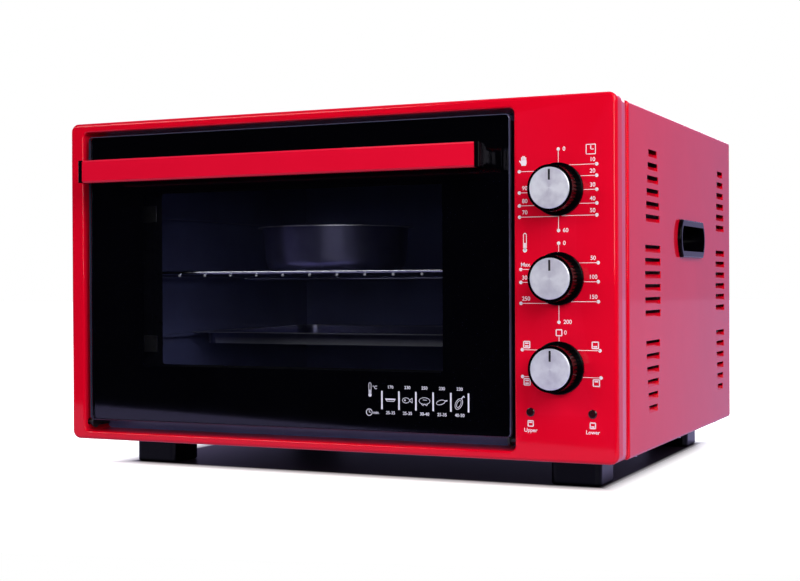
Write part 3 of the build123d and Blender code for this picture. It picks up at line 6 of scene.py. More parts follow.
import bmesh
import bpy
from mathutils import Matrix, Vector


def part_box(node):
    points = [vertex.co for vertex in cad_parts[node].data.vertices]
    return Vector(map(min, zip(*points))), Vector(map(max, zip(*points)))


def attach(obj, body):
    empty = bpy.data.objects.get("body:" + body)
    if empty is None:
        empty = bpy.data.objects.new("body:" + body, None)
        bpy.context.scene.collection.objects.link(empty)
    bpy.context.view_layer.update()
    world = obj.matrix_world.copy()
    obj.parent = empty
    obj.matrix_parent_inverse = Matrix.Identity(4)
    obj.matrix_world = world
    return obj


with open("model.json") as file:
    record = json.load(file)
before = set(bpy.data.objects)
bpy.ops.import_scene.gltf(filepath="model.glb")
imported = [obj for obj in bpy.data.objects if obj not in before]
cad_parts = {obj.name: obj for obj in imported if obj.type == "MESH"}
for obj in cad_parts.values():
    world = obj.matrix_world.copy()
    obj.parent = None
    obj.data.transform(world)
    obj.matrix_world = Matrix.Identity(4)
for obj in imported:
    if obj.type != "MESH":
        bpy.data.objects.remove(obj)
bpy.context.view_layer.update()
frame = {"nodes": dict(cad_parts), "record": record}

MM = 0.001

# Camera, found by fitting the cabinet's edges in the photograph
PHOTO_WIDTH_PX = 800
FOCAL_PX = 1413.24
SENSOR_MM = 36.0
CAMERA_PLACE = Vector((0.5998, -1.3510, 0.1802))
CAMERA_YAW = math.radians(24.61)
CAMERA_PITCH = math.radians(-0.36)
CAMERA_ROLL = math.radians(-0.29)

# Colours, linear
WHITE = (1.0, 1.0, 1.0)
NIGHT = (0.0, 0.0, 0.0)
RED = (0.70, 0.0008, 0.016)
RED_DEEP = (0.67, 0.0007, 0.015)
# Lighter red for the paint's convex edges
RED_EDGE_LIGHTER = (0.76, 0.006, 0.035)
HANDLE_RED = (0.72, 0.001, 0.020)
HANDLE_RED_DEEP = (0.69, 0.0008, 0.018)
INK_WHITE = (0.90, 0.80, 0.86)
GLASS_INK = (0.74, 0.73, 0.84)
GLASS_GLEAM = (0.85, 0.82, 1.0)
GROUND_GLASS = (0.05, 0.055, 0.10)

# A clouded colour's second tone, as a share of its first
PANEL_INK_CLOUD = 0.94
GLASS_INK_CLOUD = 0.92
PANE_CLOUD = 1.2
PAPER_CLOUD = 0.98

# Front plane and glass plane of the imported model
FRONT_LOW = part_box("front_frame")[0]
GLASS_LOW, GLASS_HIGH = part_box("door_glass_outer")


# Node helpers

def new_material(name):
    """A node material; returns it with its shader."""
    made = bpy.data.materials.new(name)
    made.use_nodes = True
    return made, shader_of(made)


def shader_of(made):
    return made.node_tree.nodes["Principled BSDF"]


def set_inputs(node, **constants):
    """Sets some of a node's inputs; an underscore stands for a space in an input's name."""
    for name, value in constants.items():
        node.inputs[name.replace("_", " ")].default_value = value


def add_node(made, kind, **constants):
    node = made.node_tree.nodes.new(kind)
    set_inputs(node, **constants)
    return node


def wire(made, source, target):
    made.node_tree.links.new(source, target)


def feed(made, value, target):
    """Wires another node's output to an input, or sets the input to a constant."""
    if isinstance(value, bpy.types.NodeSocket):
        wire(made, value, target)
    else:
        target.default_value = value


def rgba(colour):
    return (*colour, 1.0)


def scaled(colour, share):
    return tuple(share * part for part in colour)


def coordinates(made):
    """Object coordinates in metres."""
    return add_node(made, "ShaderNodeTexCoord").outputs["Object"]


def components(made, vector):
    parts = add_node(made, "ShaderNodeSeparateXYZ")
    wire(made, vector, parts.inputs["Vector"])
    return parts.outputs


def calculated(made, operation, *values):
    """One step of arithmetic on constants or outputs."""
    step = add_node(made, "ShaderNodeMath")
    step.operation = operation
    for value, target in zip(values, step.inputs):
        feed(made, value, target)
    return step.outputs["Value"]


def noise(made, vector, grain, detail=3.0):
    """Noise whose features are about `grain` metres across."""
    texture = add_node(made, "ShaderNodeTexNoise", Scale=1.0 / grain, Detail=detail)
    wire(made, vector, texture.inputs["Vector"])
    return texture.outputs["Fac"]


def two_tone(made, factor, colour_a, colour_b, low=0.35, high=0.65, blend="LINEAR"):
    """Blends two colours by a factor between two of its values."""
    ramp = add_node(made, "ShaderNodeValToRGB")
    ramp.color_ramp.interpolation = blend
    ramp.color_ramp.elements[0].position = low
    ramp.color_ramp.elements[0].color = rgba(colour_a)
    ramp.color_ramp.elements[1].position = high
    ramp.color_ramp.elements[1].color = rgba(colour_b)
    wire(made, factor, ramp.inputs["Fac"])
    return ramp.outputs["Color"]


def mixed(made, factor, below, above):
    """Blends two colours, each a constant or another node's output."""
    mix = add_node(made, "ShaderNodeMix")
    mix.data_type = "RGBA"
    wire(made, factor, mix.inputs["Factor"])
    for name, colour in (("A", below), ("B", above)):
        feed(made, rgba(colour) if isinstance(colour, tuple) else colour, mix.inputs[name])
    return mix.outputs["Result"]


def ranged(made, factor, low=0.0, high=1.0, start=0.0, stop=1.0):
    """Moves a factor from the span `start` to `stop` into the span `low` to `high`."""
    mapped = add_node(made, "ShaderNodeMapRange", From_Min=start, From_Max=stop, To_Min=low, To_Max=high)
    wire(made, factor, mapped.inputs["Value"])
    return mapped.outputs["Result"]


def edge_mask(made, start, full, most=1.0):
    """Rises on convex edges from 0, where their pointiness is `start`, to `most`, where it is `full`."""
    geometry = add_node(made, "ShaderNodeNewGeometry")
    return two_tone(made, geometry.outputs["Pointiness"], NIGHT, (most, most, most), start, full)


def bumped(made, shader, height, depth):
    """Bump of a real depth in metres."""
    bump = add_node(made, "ShaderNodeBump", Distance=depth)
    wire(made, height, bump.inputs["Height"])
    wire(made, bump.outputs["Normal"], shader.inputs["Normal"])


# Materials

# Spans of a plain finish's colour and gloss clouds, in grains of its bump, and how rough its coat is
MOTTLE_GRAINS = 12
UNEVEN_GRAINS = 5
COAT_ROUGHNESS = 0.05

# Part of a pane's outward direction that tells its faces from its ground edge
PANE_FACING = 0.9


def plain_finish(
    name, colour, shade, roughness, grain, depth, metallic=0.0, spread=0.08, coat=0.0, specular=0.5
):
    """A moulded, cast or painted finish: mottled colour, uneven roughness and a fine bump."""
    made, shader = new_material(name)
    where = coordinates(made)
    mottling = noise(made, where, grain * MOTTLE_GRAINS, detail=4)
    wire(made, two_tone(made, mottling, colour, shade), shader.inputs["Base Color"])
    uneven = noise(made, where, grain * UNEVEN_GRAINS)
    wire(made, ranged(made, uneven, roughness - spread, roughness + spread), shader.inputs["Roughness"])
    bumped(made, shader, noise(made, where, grain, detail=2), depth)
    set_inputs(shader, Metallic=metallic, Specular_IOR_Level=specular)
    set_inputs(shader, Coat_Weight=coat, Coat_Roughness=COAT_ROUGHNESS)
    return made


def red_paint(name, colour, shade, ripple):
    """Glossy stove enamel with orange peel, slightly lighter on convex edges."""
    made, shader = new_material(name)
    where = coordinates(made)
    body = two_tone(made, noise(made, where, grain=0.05, detail=4), colour, shade)
    # The colour is lighter on convex edges, set by an edge mask.
    convex_edges = edge_mask(made, start=0.52, full=0.64, most=0.5)
    wire(made, mixed(made, convex_edges, body, RED_EDGE_LIGHTER), shader.inputs["Base Color"])
    haze = noise(made, where, grain=0.03)
    wire(made, ranged(made, haze, low=0.30, high=0.34), shader.inputs["Roughness"])
    bumped(made, shader, noise(made, where, grain=0.004, detail=1), ripple)
    set_inputs(shader, Specular_IOR_Level=0.01, Coat_Weight=0.5, Coat_Roughness=0.06)
    return made


def galvanised():
    """Zinc-coated sheet with its patchwork of crystals."""
    made, shader = new_material("galvanised_sheet")
    where = coordinates(made)
    crystal_span = 0.011
    crystals = add_node(made, "ShaderNodeTexVoronoi", Scale=1 / crystal_span)
    wire(made, where, crystals.inputs["Vector"])
    tone = add_node(made, "ShaderNodeRGBToBW")
    wire(made, crystals.outputs["Color"], tone.inputs["Color"])
    colour = two_tone(made, tone.outputs["Val"], (0.42, 0.43, 0.45), (0.60, 0.61, 0.63), 0.1, 0.9)
    wire(made, colour, shader.inputs["Base Color"])
    wire(made, ranged(made, tone.outputs["Val"], low=0.32, high=0.52), shader.inputs["Roughness"])
    bumped(made, shader, noise(made, where, grain=0.0006), depth=0.000004)
    set_inputs(shader, Metallic=0.95)
    return made


def spun_aluminium():
    """Turned metal disc: fine circular grooves, and a painted sheen, a soft fan of light and dark sectors in
    its colour.
    """
    made, shader = new_material("spun_aluminium")
    source = add_node(made, "ShaderNodeTexCoord")
    centred = add_node(made, "ShaderNodeVectorMath")
    centred.operation = "SUBTRACT"
    middle = (0.5, 0.5, 0.5)
    centred.inputs[1].default_value = middle
    wire(made, source.outputs["Generated"], centred.inputs[0])
    grooves = add_node(made, "ShaderNodeTexWave", Scale=26.0, Distortion=1.2, Detail=2.0)
    grooves.wave_type = "RINGS"
    grooves.rings_direction = "Y"
    wire(made, centred.outputs["Vector"], grooves.inputs["Vector"])
    parts = components(made, centred.outputs["Vector"])
    # Painted sheen: light and dark sectors put into the colour, in place of the highlight that turned metal
    # catches.
    angle = calculated(made, "ARCTAN2", parts["Z"], parts["X"])
    sheen_fan = calculated(made, "COSINE", calculated(made, "MULTIPLY", angle, 2.0))
    painted_sheen = ranged(made, sheen_fan, start=-1.0)
    mottling = noise(made, coordinates(made), grain=0.006, detail=4)
    sheen_share = 0.45
    mottle_and_sheen = calculated(made, "MULTIPLY_ADD", painted_sheen, sheen_share, mottling)
    colour = two_tone(made, mottle_and_sheen, (0.62, 0.60, 0.72), (0.88, 0.88, 0.97), 0.3, 1.0)
    wire(made, colour, shader.inputs["Base Color"])
    wire(made, ranged(made, grooves.outputs["Fac"], low=0.30, high=0.42), shader.inputs["Roughness"])
    bumped(made, shader, grooves.outputs["Fac"], depth=0.000010)
    set_inputs(shader, Metallic=0.55)
    return made


def bright_wire():
    """Chromed wire, a little uneven."""
    made, shader = new_material("rack_chrome")
    where = coordinates(made)
    tone = two_tone(made, noise(made, where, grain=0.02), (0.74, 0.78, 0.92), (0.86, 0.89, 1.0))
    wire(made, tone, shader.inputs["Base Color"])
    uneven = noise(made, where, grain=0.006)
    wire(made, ranged(made, uneven, low=0.10, high=0.24), shader.inputs["Roughness"])
    bumped(made, shader, noise(made, where, grain=0.0015), depth=0.000006)
    set_inputs(shader, Metallic=1.0)
    return made


def speckled_enamel(name, colour, shade, speck):
    """Dark vitreous enamel with fine pale specks."""
    made, shader = new_material(name)
    where = coordinates(made)
    ground = two_tone(made, noise(made, where, grain=0.04, detail=4), colour, shade)
    speck_span = 0.0028
    specks = add_node(made, "ShaderNodeTexVoronoi", Scale=1 / speck_span)
    wire(made, where, specks.inputs["Vector"])
    mask = two_tone(made, specks.outputs["Distance"], WHITE, NIGHT, 0.06, 0.12)
    wire(made, mixed(made, mask, ground, speck), shader.inputs["Base Color"])
    uneven = noise(made, where, grain=0.01)
    wire(made, ranged(made, uneven, low=0.28, high=0.42), shader.inputs["Roughness"])
    bumped(made, shader, noise(made, where, grain=0.003), depth=0.000012)
    set_inputs(shader, Coat_Weight=0.3)
    return made


def bakeware(name, colour, shade, rim):
    """Dark coated sheet with a painted highlight: its rolled rims are lightened towards a pale rim colour.
    """
    made = plain_finish(
        name, colour, shade, roughness=0.33, grain=0.0012, depth=0.000001,
        metallic=0.9, spread=0.02, coat=0.15,
    )
    base = shader_of(made).inputs["Base Color"]
    # Painted highlight: convex rims lightened towards the rim colour.
    painted_rim_highlight = edge_mask(made, start=0.52, full=0.60)
    wire(made, mixed(made, painted_rim_highlight, base.links[0].from_socket, rim), base)
    return made


def pane(name, tint, alpha):
    """Tinted glass that lets light and sight through, with faint unevenness in its gloss."""
    made, shader = new_material(name)
    where = coordinates(made)
    tone = two_tone(made, noise(made, where, grain=0.12), tint, scaled(tint, PANE_CLOUD))
    wire(made, tone, shader.inputs["Base Color"])
    uneven = noise(made, where, grain=0.03)
    wire(made, ranged(made, uneven, low=0.0, high=0.03), shader.inputs["Roughness"])
    set_inputs(shader, Alpha=alpha, Specular_Tint=rgba(GLASS_GLEAM))
    return made


def ground_edge_pane(name, tint, alpha):
    """The tinted pane, with its ground edge opaque and dark blue-grey where its sides face outward."""
    made = pane(name, tint, alpha)
    shader = shader_of(made)
    base = shader.inputs["Base Color"]
    source = add_node(made, "ShaderNodeTexCoord")
    facing = calculated(made, "ABSOLUTE", components(made, source.outputs["Normal"])["Y"])
    clear = calculated(made, "GREATER_THAN", facing, PANE_FACING)
    wire(made, ranged(made, clear, low=1.0, high=alpha), shader.inputs["Alpha"])
    wire(made, mixed(made, clear, GROUND_GLASS, base.links[0].from_socket), base)
    return made


PLAIN_FINISHES = {
    "black_enamel": dict(
        colour=(0.003, 0.003, 0.005), shade=(0.005, 0.005, 0.008),
        roughness=0.3, grain=0.0012, depth=0.000006, coat=0.2,
    ),
    "heater_sheath": dict(
        colour=(0.13, 0.12, 0.12), shade=(0.20, 0.17, 0.15),
        roughness=0.5, grain=0.0012, depth=0.00001, metallic=0.8,
    ),
    "ceramic_white": dict(
        colour=(0.80, 0.78, 0.73), shade=(0.72, 0.69, 0.63), roughness=0.55, grain=0.0008, depth=0.00001,
    ),
    "control_case": dict(
        colour=(0.05, 0.05, 0.055), shade=(0.035, 0.035, 0.04), roughness=0.5, grain=0.0007, depth=0.00001,
    ),
    "black_plastic": dict(
        colour=(0.0008, 0.0006, 0.001), shade=(0.0012, 0.001, 0.002),
        roughness=0.16, grain=0.0008, depth=0.000002, spread=0.03, specular=0.07,
    ),
    "foot_black": dict(
        colour=(0.0008, 0.0008, 0.0012), shade=(0.0012, 0.0012, 0.002),
        roughness=0.10, grain=0.0007, depth=0.000003, spread=0.03, specular=0.08,
    ),
    "dark_steel": dict(
        colour=(0.020, 0.020, 0.024), shade=(0.035, 0.034, 0.038),
        roughness=0.42, grain=0.0007, depth=0.000006, metallic=0.8,
    ),
    "lamp_lens": dict(
        colour=(0.030, 0.004, 0.006), shade=(0.018, 0.002, 0.004),
        roughness=0.15, grain=0.002, depth=0.000004, coat=0.6,
    ),
    "fastener_steel": dict(
        colour=(0.48, 0.48, 0.50), shade=(0.38, 0.38, 0.40),
        roughness=0.35, grain=0.0006, depth=0.00001, metallic=1.0,
    ),
    "lead_insulation": dict(
        colour=(0.50, 0.44, 0.34), shade=(0.42, 0.37, 0.28), roughness=0.6, grain=0.0006, depth=0.00002,
    ),
    "panel_ink": dict(
        colour=INK_WHITE, shade=scaled(INK_WHITE, PANEL_INK_CLOUD),
        roughness=0.45, grain=0.0004, depth=0.000004,
    ),
    "glass_ink": dict(
        colour=GLASS_INK, shade=scaled(GLASS_INK, GLASS_INK_CLOUD),
        roughness=0.45, grain=0.0004, depth=0.000004,
    ),
    "pointer_black": dict(
        colour=(0.006, 0.006, 0.008), shade=(0.010, 0.010, 0.013),
        roughness=0.3, grain=0.0006, depth=0.000004,
    ),
    "print_black": dict(
        colour=(0.0004, 0.0004, 0.0008), shade=(0.0007, 0.0007, 0.0012),
        roughness=0.05, grain=0.004, depth=0.0000002, spread=0.02,
    ),
    # Near-white and barely metallic: a painted highlight for the rack's wire tips
    "tip_painted_highlight": dict(
        colour=(0.86, 0.90, 1.0), shade=(0.80, 0.84, 0.96),
        roughness=0.35, grain=0.0006, depth=0.000002, metallic=0.1,
    ),
}

MATERIALS = {name: plain_finish(name, **finish) for name, finish in PLAIN_FINISHES.items()}
MATERIALS.update(
    red_paint=red_paint("red_paint", RED, RED_DEEP, ripple=0.000003),
    handle_red=red_paint("handle_red", HANDLE_RED, HANDLE_RED_DEEP, ripple=0.000002),
    cavity_enamel=speckled_enamel(
        "cavity_enamel", (0.12, 0.135, 0.33), (0.10, 0.11, 0.27), speck=(0.24, 0.26, 0.45)
    ),
    pan_enamel=bakeware("pan_enamel", (0.21, 0.21, 0.37), (0.18, 0.18, 0.33), rim=(0.88, 0.90, 1.0)),
    galvanised_sheet=galvanised(),
    rack_chrome=bright_wire(),
    knob_metal=spun_aluminium(),
    pane_black=ground_edge_pane("pane_black", (0.0008, 0.0009, 0.002), alpha=0.22),
    pane_clear=pane("pane_clear", (0.004, 0.005, 0.008), alpha=0.06),
)
set_inputs(shader_of(MATERIALS["print_black"]), Specular_Tint=rgba(GLASS_GLEAM))

for part in frame["record"]["subparts"]:
    slots = frame["nodes"][part["node"]].data.materials
    slots.clear()
    slots.append(MATERIALS[part["material_slot"]])


def mesh_object(name, shape, material):
    """An object of the scene from a drawn shape, which is used up."""
    mesh = bpy.data.meshes.new(name)
    shape.to_mesh(mesh)
    shape.free()
    mesh.materials.append(material)
    made = bpy.data.objects.new(name, mesh)
    bpy.context.scene.collection.objects.link(made)
    return made


# Printed marks

INK_HEIGHT = 0.06 * MM
LETTER_WEIGHT = 0.06
DISC_SIDES = 24
RING_SIDES = 32


class Print:
    """Flat ink shapes on a plane that faces the front, drawn in millimetres from the frame's foot."""

    def __init__(self, surface_y):
        self.shape = bmesh.new()
        self.y = surface_y - INK_HEIGHT

    def face(self, points):
        corners = [self.shape.verts.new((x * MM, self.y, FRONT_LOW.z + z * MM)) for x, z in points]
        made = self.shape.faces.new(corners)
        made.normal_update()
        if made.normal.y > 0:
            made.normal_flip()

    def line(self, start, end, width=0.5):
        along = Vector(end) - Vector(start)
        side = Vector((-along.y, along.x)).normalized() * width / 2
        self.face([Vector(start) + side, Vector(end) + side, Vector(end) - side, Vector(start) - side])

    def strokes(self, points, width=0.5):
        for start, end in zip(points, points[1:]):
            self.line(start, end, width)

    def disc(self, x, z, radius):
        turns = [2 * math.pi * i / DISC_SIDES for i in range(DISC_SIDES)]
        self.face([(x + radius * math.cos(turn), z + radius * math.sin(turn)) for turn in turns])

    def ring(self, x, z, half_x, half_z, width=0.45, tilt=0.0):
        """An ellipse's outline, turned by a tilt in degrees."""
        lean = math.radians(tilt)
        points = []
        for i in range(RING_SIDES + 1):
            angle = 2 * math.pi * i / RING_SIDES
            across = half_x * math.cos(angle)
            up = half_z * math.sin(angle)
            points.append((
                x + across * math.cos(lean) - up * math.sin(lean),
                z + across * math.sin(lean) + up * math.cos(lean),
            ))
        self.strokes(points, width)

    def square(self, x, z, size, width=0.5):
        half = size / 2
        corners = [(x - half, z - half), (x + half, z - half), (x + half, z + half), (x - half, z + half)]
        self.strokes(corners + corners[:1], width)

    def text(self, words, x, z, size):
        """Plain bold lettering, centred on its width and height."""
        curve = bpy.data.curves.new("lettering", "FONT")
        curve.body = words
        curve.size = size
        curve.offset = LETTER_WEIGHT
        curve.align_x = "CENTER"
        curve.align_y = "CENTER"
        shown = bpy.data.objects.new("lettering", curve)
        bpy.context.scene.collection.objects.link(shown)
        bpy.context.view_layer.update()
        flat = bpy.data.meshes.new_from_object(shown.evaluated_get(bpy.context.evaluated_depsgraph_get()))
        bpy.data.objects.remove(shown)
        for polygon in flat.polygons:
            corners = [flat.vertices[i].co for i in polygon.vertices]
            self.face([(x + corner.x, z + corner.y) for corner in corners])
        bpy.data.meshes.remove(flat)

    def finish(self, name, ink, slot, body):
        """Makes the drawn marks one piece that moves with a body."""
        piece = mesh_object(name, self.shape, ink)
        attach(piece, body)


def knob_centre(control):
    """A knob's axis on the front, in millimetres, and its skirt's radius."""
    low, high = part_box(f"{control}_knob")
    x = (low.x + high.x) / 2 / MM
    z = ((low.z + high.z) / 2 - FRONT_LOW.z) / MM
    return x, z, (high.x - low.x) / 2 / MM


KNOB_X, TIMER_Z, SKIRT_RADIUS = knob_centre("timer")
THERMOSTAT_Z = knob_centre("thermostat")[1]
SELECTOR_Z = knob_centre("selector")[1]

# Marks round the knobs: sizes, then what each says and the height of its line
DOT_RADIUS = 1.5
NUMBER_SIZE = 4.9
UNDER_SKIRT = 1.0
SHORTEST_REACH = 0.5
TIMER_RIGHT_X, TIMER_LEFT_X = 260.0, 192.0
TIMER_TOP_Z, TIMER_FOOT_Z = 263.8, 195.5
TIMER_RIGHT = {"10": 250.2, "20": 240.7, "30": 229.1, "40": 217.7, "50": 207.8}
TIMER_LEFT = {"70": 207.4, "80": 217.0, "90": 228.0}
TIMER_HAND_Z = 246.0
HAND_PLACE = (196.0, 251.0)
CLOCK_PLACE = (255.0, 262.6)
THERMOSTAT_RIGHT_X, THERMOSTAT_LEFT_X = 261.0, 193.0
THERMOSTAT_TOP_Z, THERMOSTAT_FOOT_Z = 184.8, 118.4
THERMOSTAT_RIGHT = {"50": 168.1, "100": 152.3, "150": 135.7}
THERMOSTAT_LEFT = {"Max.": 163.0, "300": 152.0, "250": 134.2}
THERMOMETER_X, THERMOMETER_LOW, THERMOMETER_HIGH = 196.8, 177.4, 193.6
SELECTOR_TOP_Z = 109.6

# Selector marks: end of the line, and whether the upper and the lower heater are on
SELECTOR_MARKS = (
    (262.2, 95.0, False, True),
    (263.0, 72.4, True, False),
    (194.0, 94.8, True, True),
    (194.2, 72.0, True, True),
)
SYMBOL_SHIFT = 4.0
SYMBOL_RISE = 4.4

# Captions under the two lamps
LAMP_WORDS = {"Upper": 201.2, "Lower": 255.8}
LAMP_SYMBOL_Z = 32.4
LAMP_WORDS_Z = 26.6
LAMP_WORDS_SIZE = 4.6


def tick(ink, knob_z, x, z):
    """A dot with a level line that runs in under the knob's skirt."""
    ink.disc(x, z, DOT_RADIUS)
    height = min(abs(z - knob_z), SKIRT_RADIUS)
    reach = math.sqrt(SKIRT_RADIUS**2 - height**2) - UNDER_SKIRT
    side = 1 if x > KNOB_X else -1
    ink.line((x, z), (KNOB_X + side * max(reach, SHORTEST_REACH), z))


def upright_tick(ink, knob_z, z):
    """A dot above or below the knob with an upright line to the skirt."""
    ink.disc(KNOB_X, z, DOT_RADIUS)
    side = 1 if z > knob_z else -1
    ink.line((KNOB_X, z), (KNOB_X, knob_z + side * (SKIRT_RADIUS - UNDER_SKIRT)))


def side_marks(ink, knob_z, line_x, marks, shift, rise):
    """Level lines on one side of a knob, each with its words shifted inward and raised."""
    for words, z in marks.items():
        tick(ink, knob_z, line_x, z)
        ink.text(words, line_x + shift, z + rise, NUMBER_SIZE)


def thermometer(ink, x, low, high, half_width=1.3, width=0.6):
    """Tube with a bulb, outlined, with its column drawn in."""
    bulb = 1.45 * half_width
    ink.strokes([
        (x - half_width, low + 2 * bulb), (x - half_width, high - half_width),
        (x - half_width / 2, high), (x + half_width / 2, high),
        (x + half_width, high - half_width), (x + half_width, low + 2 * bulb),
    ], width)
    ink.disc(x, low + bulb, bulb)
    ink.line((x, low + bulb), (x, (low + high) / 2), half_width)


def raised_hand(ink, x, low):
    """A small hand for running without the timer: a palm, four fingers and a thumb."""
    ink.face([
        (x - 2.0, low), (x + 2.0, low), (x + 2.6, low + 1.8), (x + 2.5, low + 4.6), (x - 2.3, low + 4.6),
        (x - 2.6, low + 2.2),
    ])
    for offset, tip in ((-1.8, 7.2), (-0.6, 8.2), (0.6, 8.0), (1.8, 7.0)):
        ink.line((x + offset, low + 4.4), (x + offset, low + tip), 0.95)
    ink.line((x - 2.2, low + 2.0), (x - 3.8, low + 4.4), 1.0)


def clock_face(ink, x, z):
    """A square clock with its two hands."""
    ink.square(x, z, 8.0, 0.7)
    ink.strokes([(x, z + 3.2), (x, z), (x + 2.6, z)], 0.8)


def timer_dial(ink):
    upright_tick(ink, TIMER_Z, TIMER_TOP_Z)
    ink.text("0", KNOB_X + 5.0, TIMER_TOP_Z, NUMBER_SIZE)
    side_marks(ink, TIMER_Z, TIMER_RIGHT_X, TIMER_RIGHT, shift=-3.6, rise=3.8)
    side_marks(ink, TIMER_Z, TIMER_LEFT_X, TIMER_LEFT, shift=4.8, rise=3.8)
    upright_tick(ink, TIMER_Z, TIMER_FOOT_Z)
    ink.text("60", KNOB_X + 6.2, TIMER_FOOT_Z, NUMBER_SIZE)
    tick(ink, TIMER_Z, TIMER_LEFT_X, TIMER_HAND_Z)
    raised_hand(ink, *HAND_PLACE)
    clock_face(ink, *CLOCK_PLACE)


def thermostat_dial(ink):
    upright_tick(ink, THERMOSTAT_Z, THERMOSTAT_TOP_Z)
    ink.text("0", KNOB_X + 5.0, THERMOSTAT_TOP_Z, NUMBER_SIZE)
    side_marks(ink, THERMOSTAT_Z, THERMOSTAT_RIGHT_X, THERMOSTAT_RIGHT, shift=-4.4, rise=3.9)
    side_marks(ink, THERMOSTAT_Z, THERMOSTAT_LEFT_X, THERMOSTAT_LEFT, shift=4.6, rise=3.9)
    upright_tick(ink, THERMOSTAT_Z, THERMOSTAT_FOOT_Z)
    ink.text("200", KNOB_X + 7.6, THERMOSTAT_FOOT_Z + 0.2, NUMBER_SIZE)
    thermometer(ink, THERMOMETER_X, THERMOMETER_LOW, THERMOMETER_HIGH)


def heat_symbol(ink, x, z, upper, lower, size=5.4):
    """An oven outline with a thick bar for each heater that is on."""
    bar_half, bar_rise, bar_width = 0.3 * size, 0.22 * size, 0.22 * size
    ink.square(x, z, size, 0.9)
    for shown, bar_z in ((upper, z + bar_rise), (lower, z - bar_rise)):
        if shown:
            ink.line((x - bar_half, bar_z), (x + bar_half, bar_z), bar_width)


def selector_dial(ink):
    ink.line((KNOB_X, SELECTOR_TOP_Z - 3.0), (KNOB_X, SELECTOR_Z + SKIRT_RADIUS - UNDER_SKIRT))
    heat_symbol(ink, KNOB_X, SELECTOR_TOP_Z, upper=False, lower=False, size=5.0)
    ink.text("0", KNOB_X + 5.6, SELECTOR_TOP_Z, NUMBER_SIZE)
    for x, z, upper, lower in SELECTOR_MARKS:
        tick(ink, SELECTOR_Z, x, z)
        inward = -SYMBOL_SHIFT if x > KNOB_X else SYMBOL_SHIFT
        rise = SYMBOL_RISE if z > SELECTOR_Z else -SYMBOL_RISE
        heat_symbol(ink, x + inward, z + rise, upper, lower)


def lamp_captions(ink):
    for words, x in LAMP_WORDS.items():
        heat_symbol(ink, x, LAMP_SYMBOL_Z, upper=words == "Upper", lower=words == "Lower", size=4.6)
        ink.text(words, x, LAMP_WORDS_Z, LAMP_WORDS_SIZE)


def panel_print():
    ink = Print(FRONT_LOW.y)
    timer_dial(ink)
    thermostat_dial(ink)
    selector_dial(ink)
    lamp_captions(ink)
    ink.finish("panel_print", MATERIALS["panel_ink"], "panel_ink", "cabinet")


# Cooking chart: the upright bars between its columns, then what the columns say
CHART_BARS = (60.8, 77.5, 93.9, 110.4, 127.2, 143.8)
CHART_LOW, CHART_HIGH = 39.6, 56.0
CHART_DEGREES = ("170", "230", "250", "230", "230")
CHART_MINUTES = ("25-35", "25-35", "30-40", "25-35", "40-50")
CHART_BAR_WIDTH = 1.5
CHART_NUMBER_SIZE = 3.9
DEGREES_RISE = 3.4
MINUTES_DROP = 3.0
FOOD_RISE = 0.4


def food_symbols(ink, centres, z):
    """Five small dishes: a pastry, a fish, a roast, a small fish and a drumstick."""
    pastry, fish, roast, small_fish, drumstick = centres
    ink.strokes([
        (pastry - 5, z + 0.9), (pastry - 3.4, z - 1.2), (pastry + 3.4, z - 1.2), (pastry + 5, z + 0.9),
        (pastry - 5, z + 0.9),
    ])
    ink.line((pastry - 4.6, z + 0.2), (pastry + 4.6, z + 0.2), 0.7)
    ink.ring(fish - 1.4, z, 3.4, 2.3)
    ink.disc(fish - 2.4, z, 0.8)
    ink.strokes([(fish + 1.9, z), (fish + 4.6, z + 2.2), (fish + 4.6, z - 2.2), (fish + 1.9, z)])
    ink.ring(roast, z, 5.2, 2.9)
    ink.strokes([
        (roast - 3, z - 2.6), (roast - 1.6, z - 4.2), (roast + 0.2, z - 2.6), (roast + 2.0, z - 4.2),
        (roast + 3.2, z - 2.2),
    ])
    ink.line((roast - 1.4, z + 0.9), (roast + 2.2, z + 0.7))
    ink.ring(small_fish - 1.2, z - 0.8, 4.2, 1.9, tilt=16)
    ink.line((small_fish + 2.8, z + 0.5), (small_fish + 5.2, z + 0.9), 0.9)
    ink.ring(drumstick - 0.8, z - 1.6, 3.0, 5.0, tilt=-28)
    ink.ring(drumstick - 0.8, z - 1.6, 1.7, 3.4, tilt=-28)
    ink.strokes([(drumstick + 1.6, z + 2.6), (drumstick + 3.6, z + 5.4), (drumstick + 4.6, z + 4.2)], 0.9)


def chart_signs(ink):
    """What the chart's two rows mean: a thermometer with a degree sign, and a clock with minutes."""
    thermometer(ink, x=49.0, low=50.6, high=63.0, half_width=1.1, width=0.5)
    ink.ring(52.2, 60.0, 0.5, 0.5, 0.3)
    ink.text("C", 54.6, 58.8, 4.2)
    ink.ring(48.2, 36.6, 2.9, 2.9, 0.6)
    ink.strokes([(48.2, 38.6), (48.2, 36.6), (49.8, 36.6)], 0.5)
    ink.text("min.", 55.2, 36.4, 3.6)


def glass_chart():
    """Cooking chart: times and temperatures for five dishes."""
    ink = Print(GLASS_LOW.y)
    for x in CHART_BARS:
        ink.line((x, CHART_LOW), (x, CHART_HIGH), CHART_BAR_WIDTH)
    centres = [(a + b) / 2 for a, b in zip(CHART_BARS, CHART_BARS[1:])]
    for x, degrees, minutes in zip(centres, CHART_DEGREES, CHART_MINUTES):
        ink.text(degrees, x, CHART_HIGH + DEGREES_RISE, CHART_NUMBER_SIZE)
        ink.text(minutes, x, CHART_LOW - MINUTES_DROP, CHART_NUMBER_SIZE)
    food_symbols(ink, centres, (CHART_LOW + CHART_HIGH) / 2 + FOOD_RISE)
    chart_signs(ink)
    ink.finish("glass_chart", MATERIALS["glass_ink"], "panel_ink", "door")


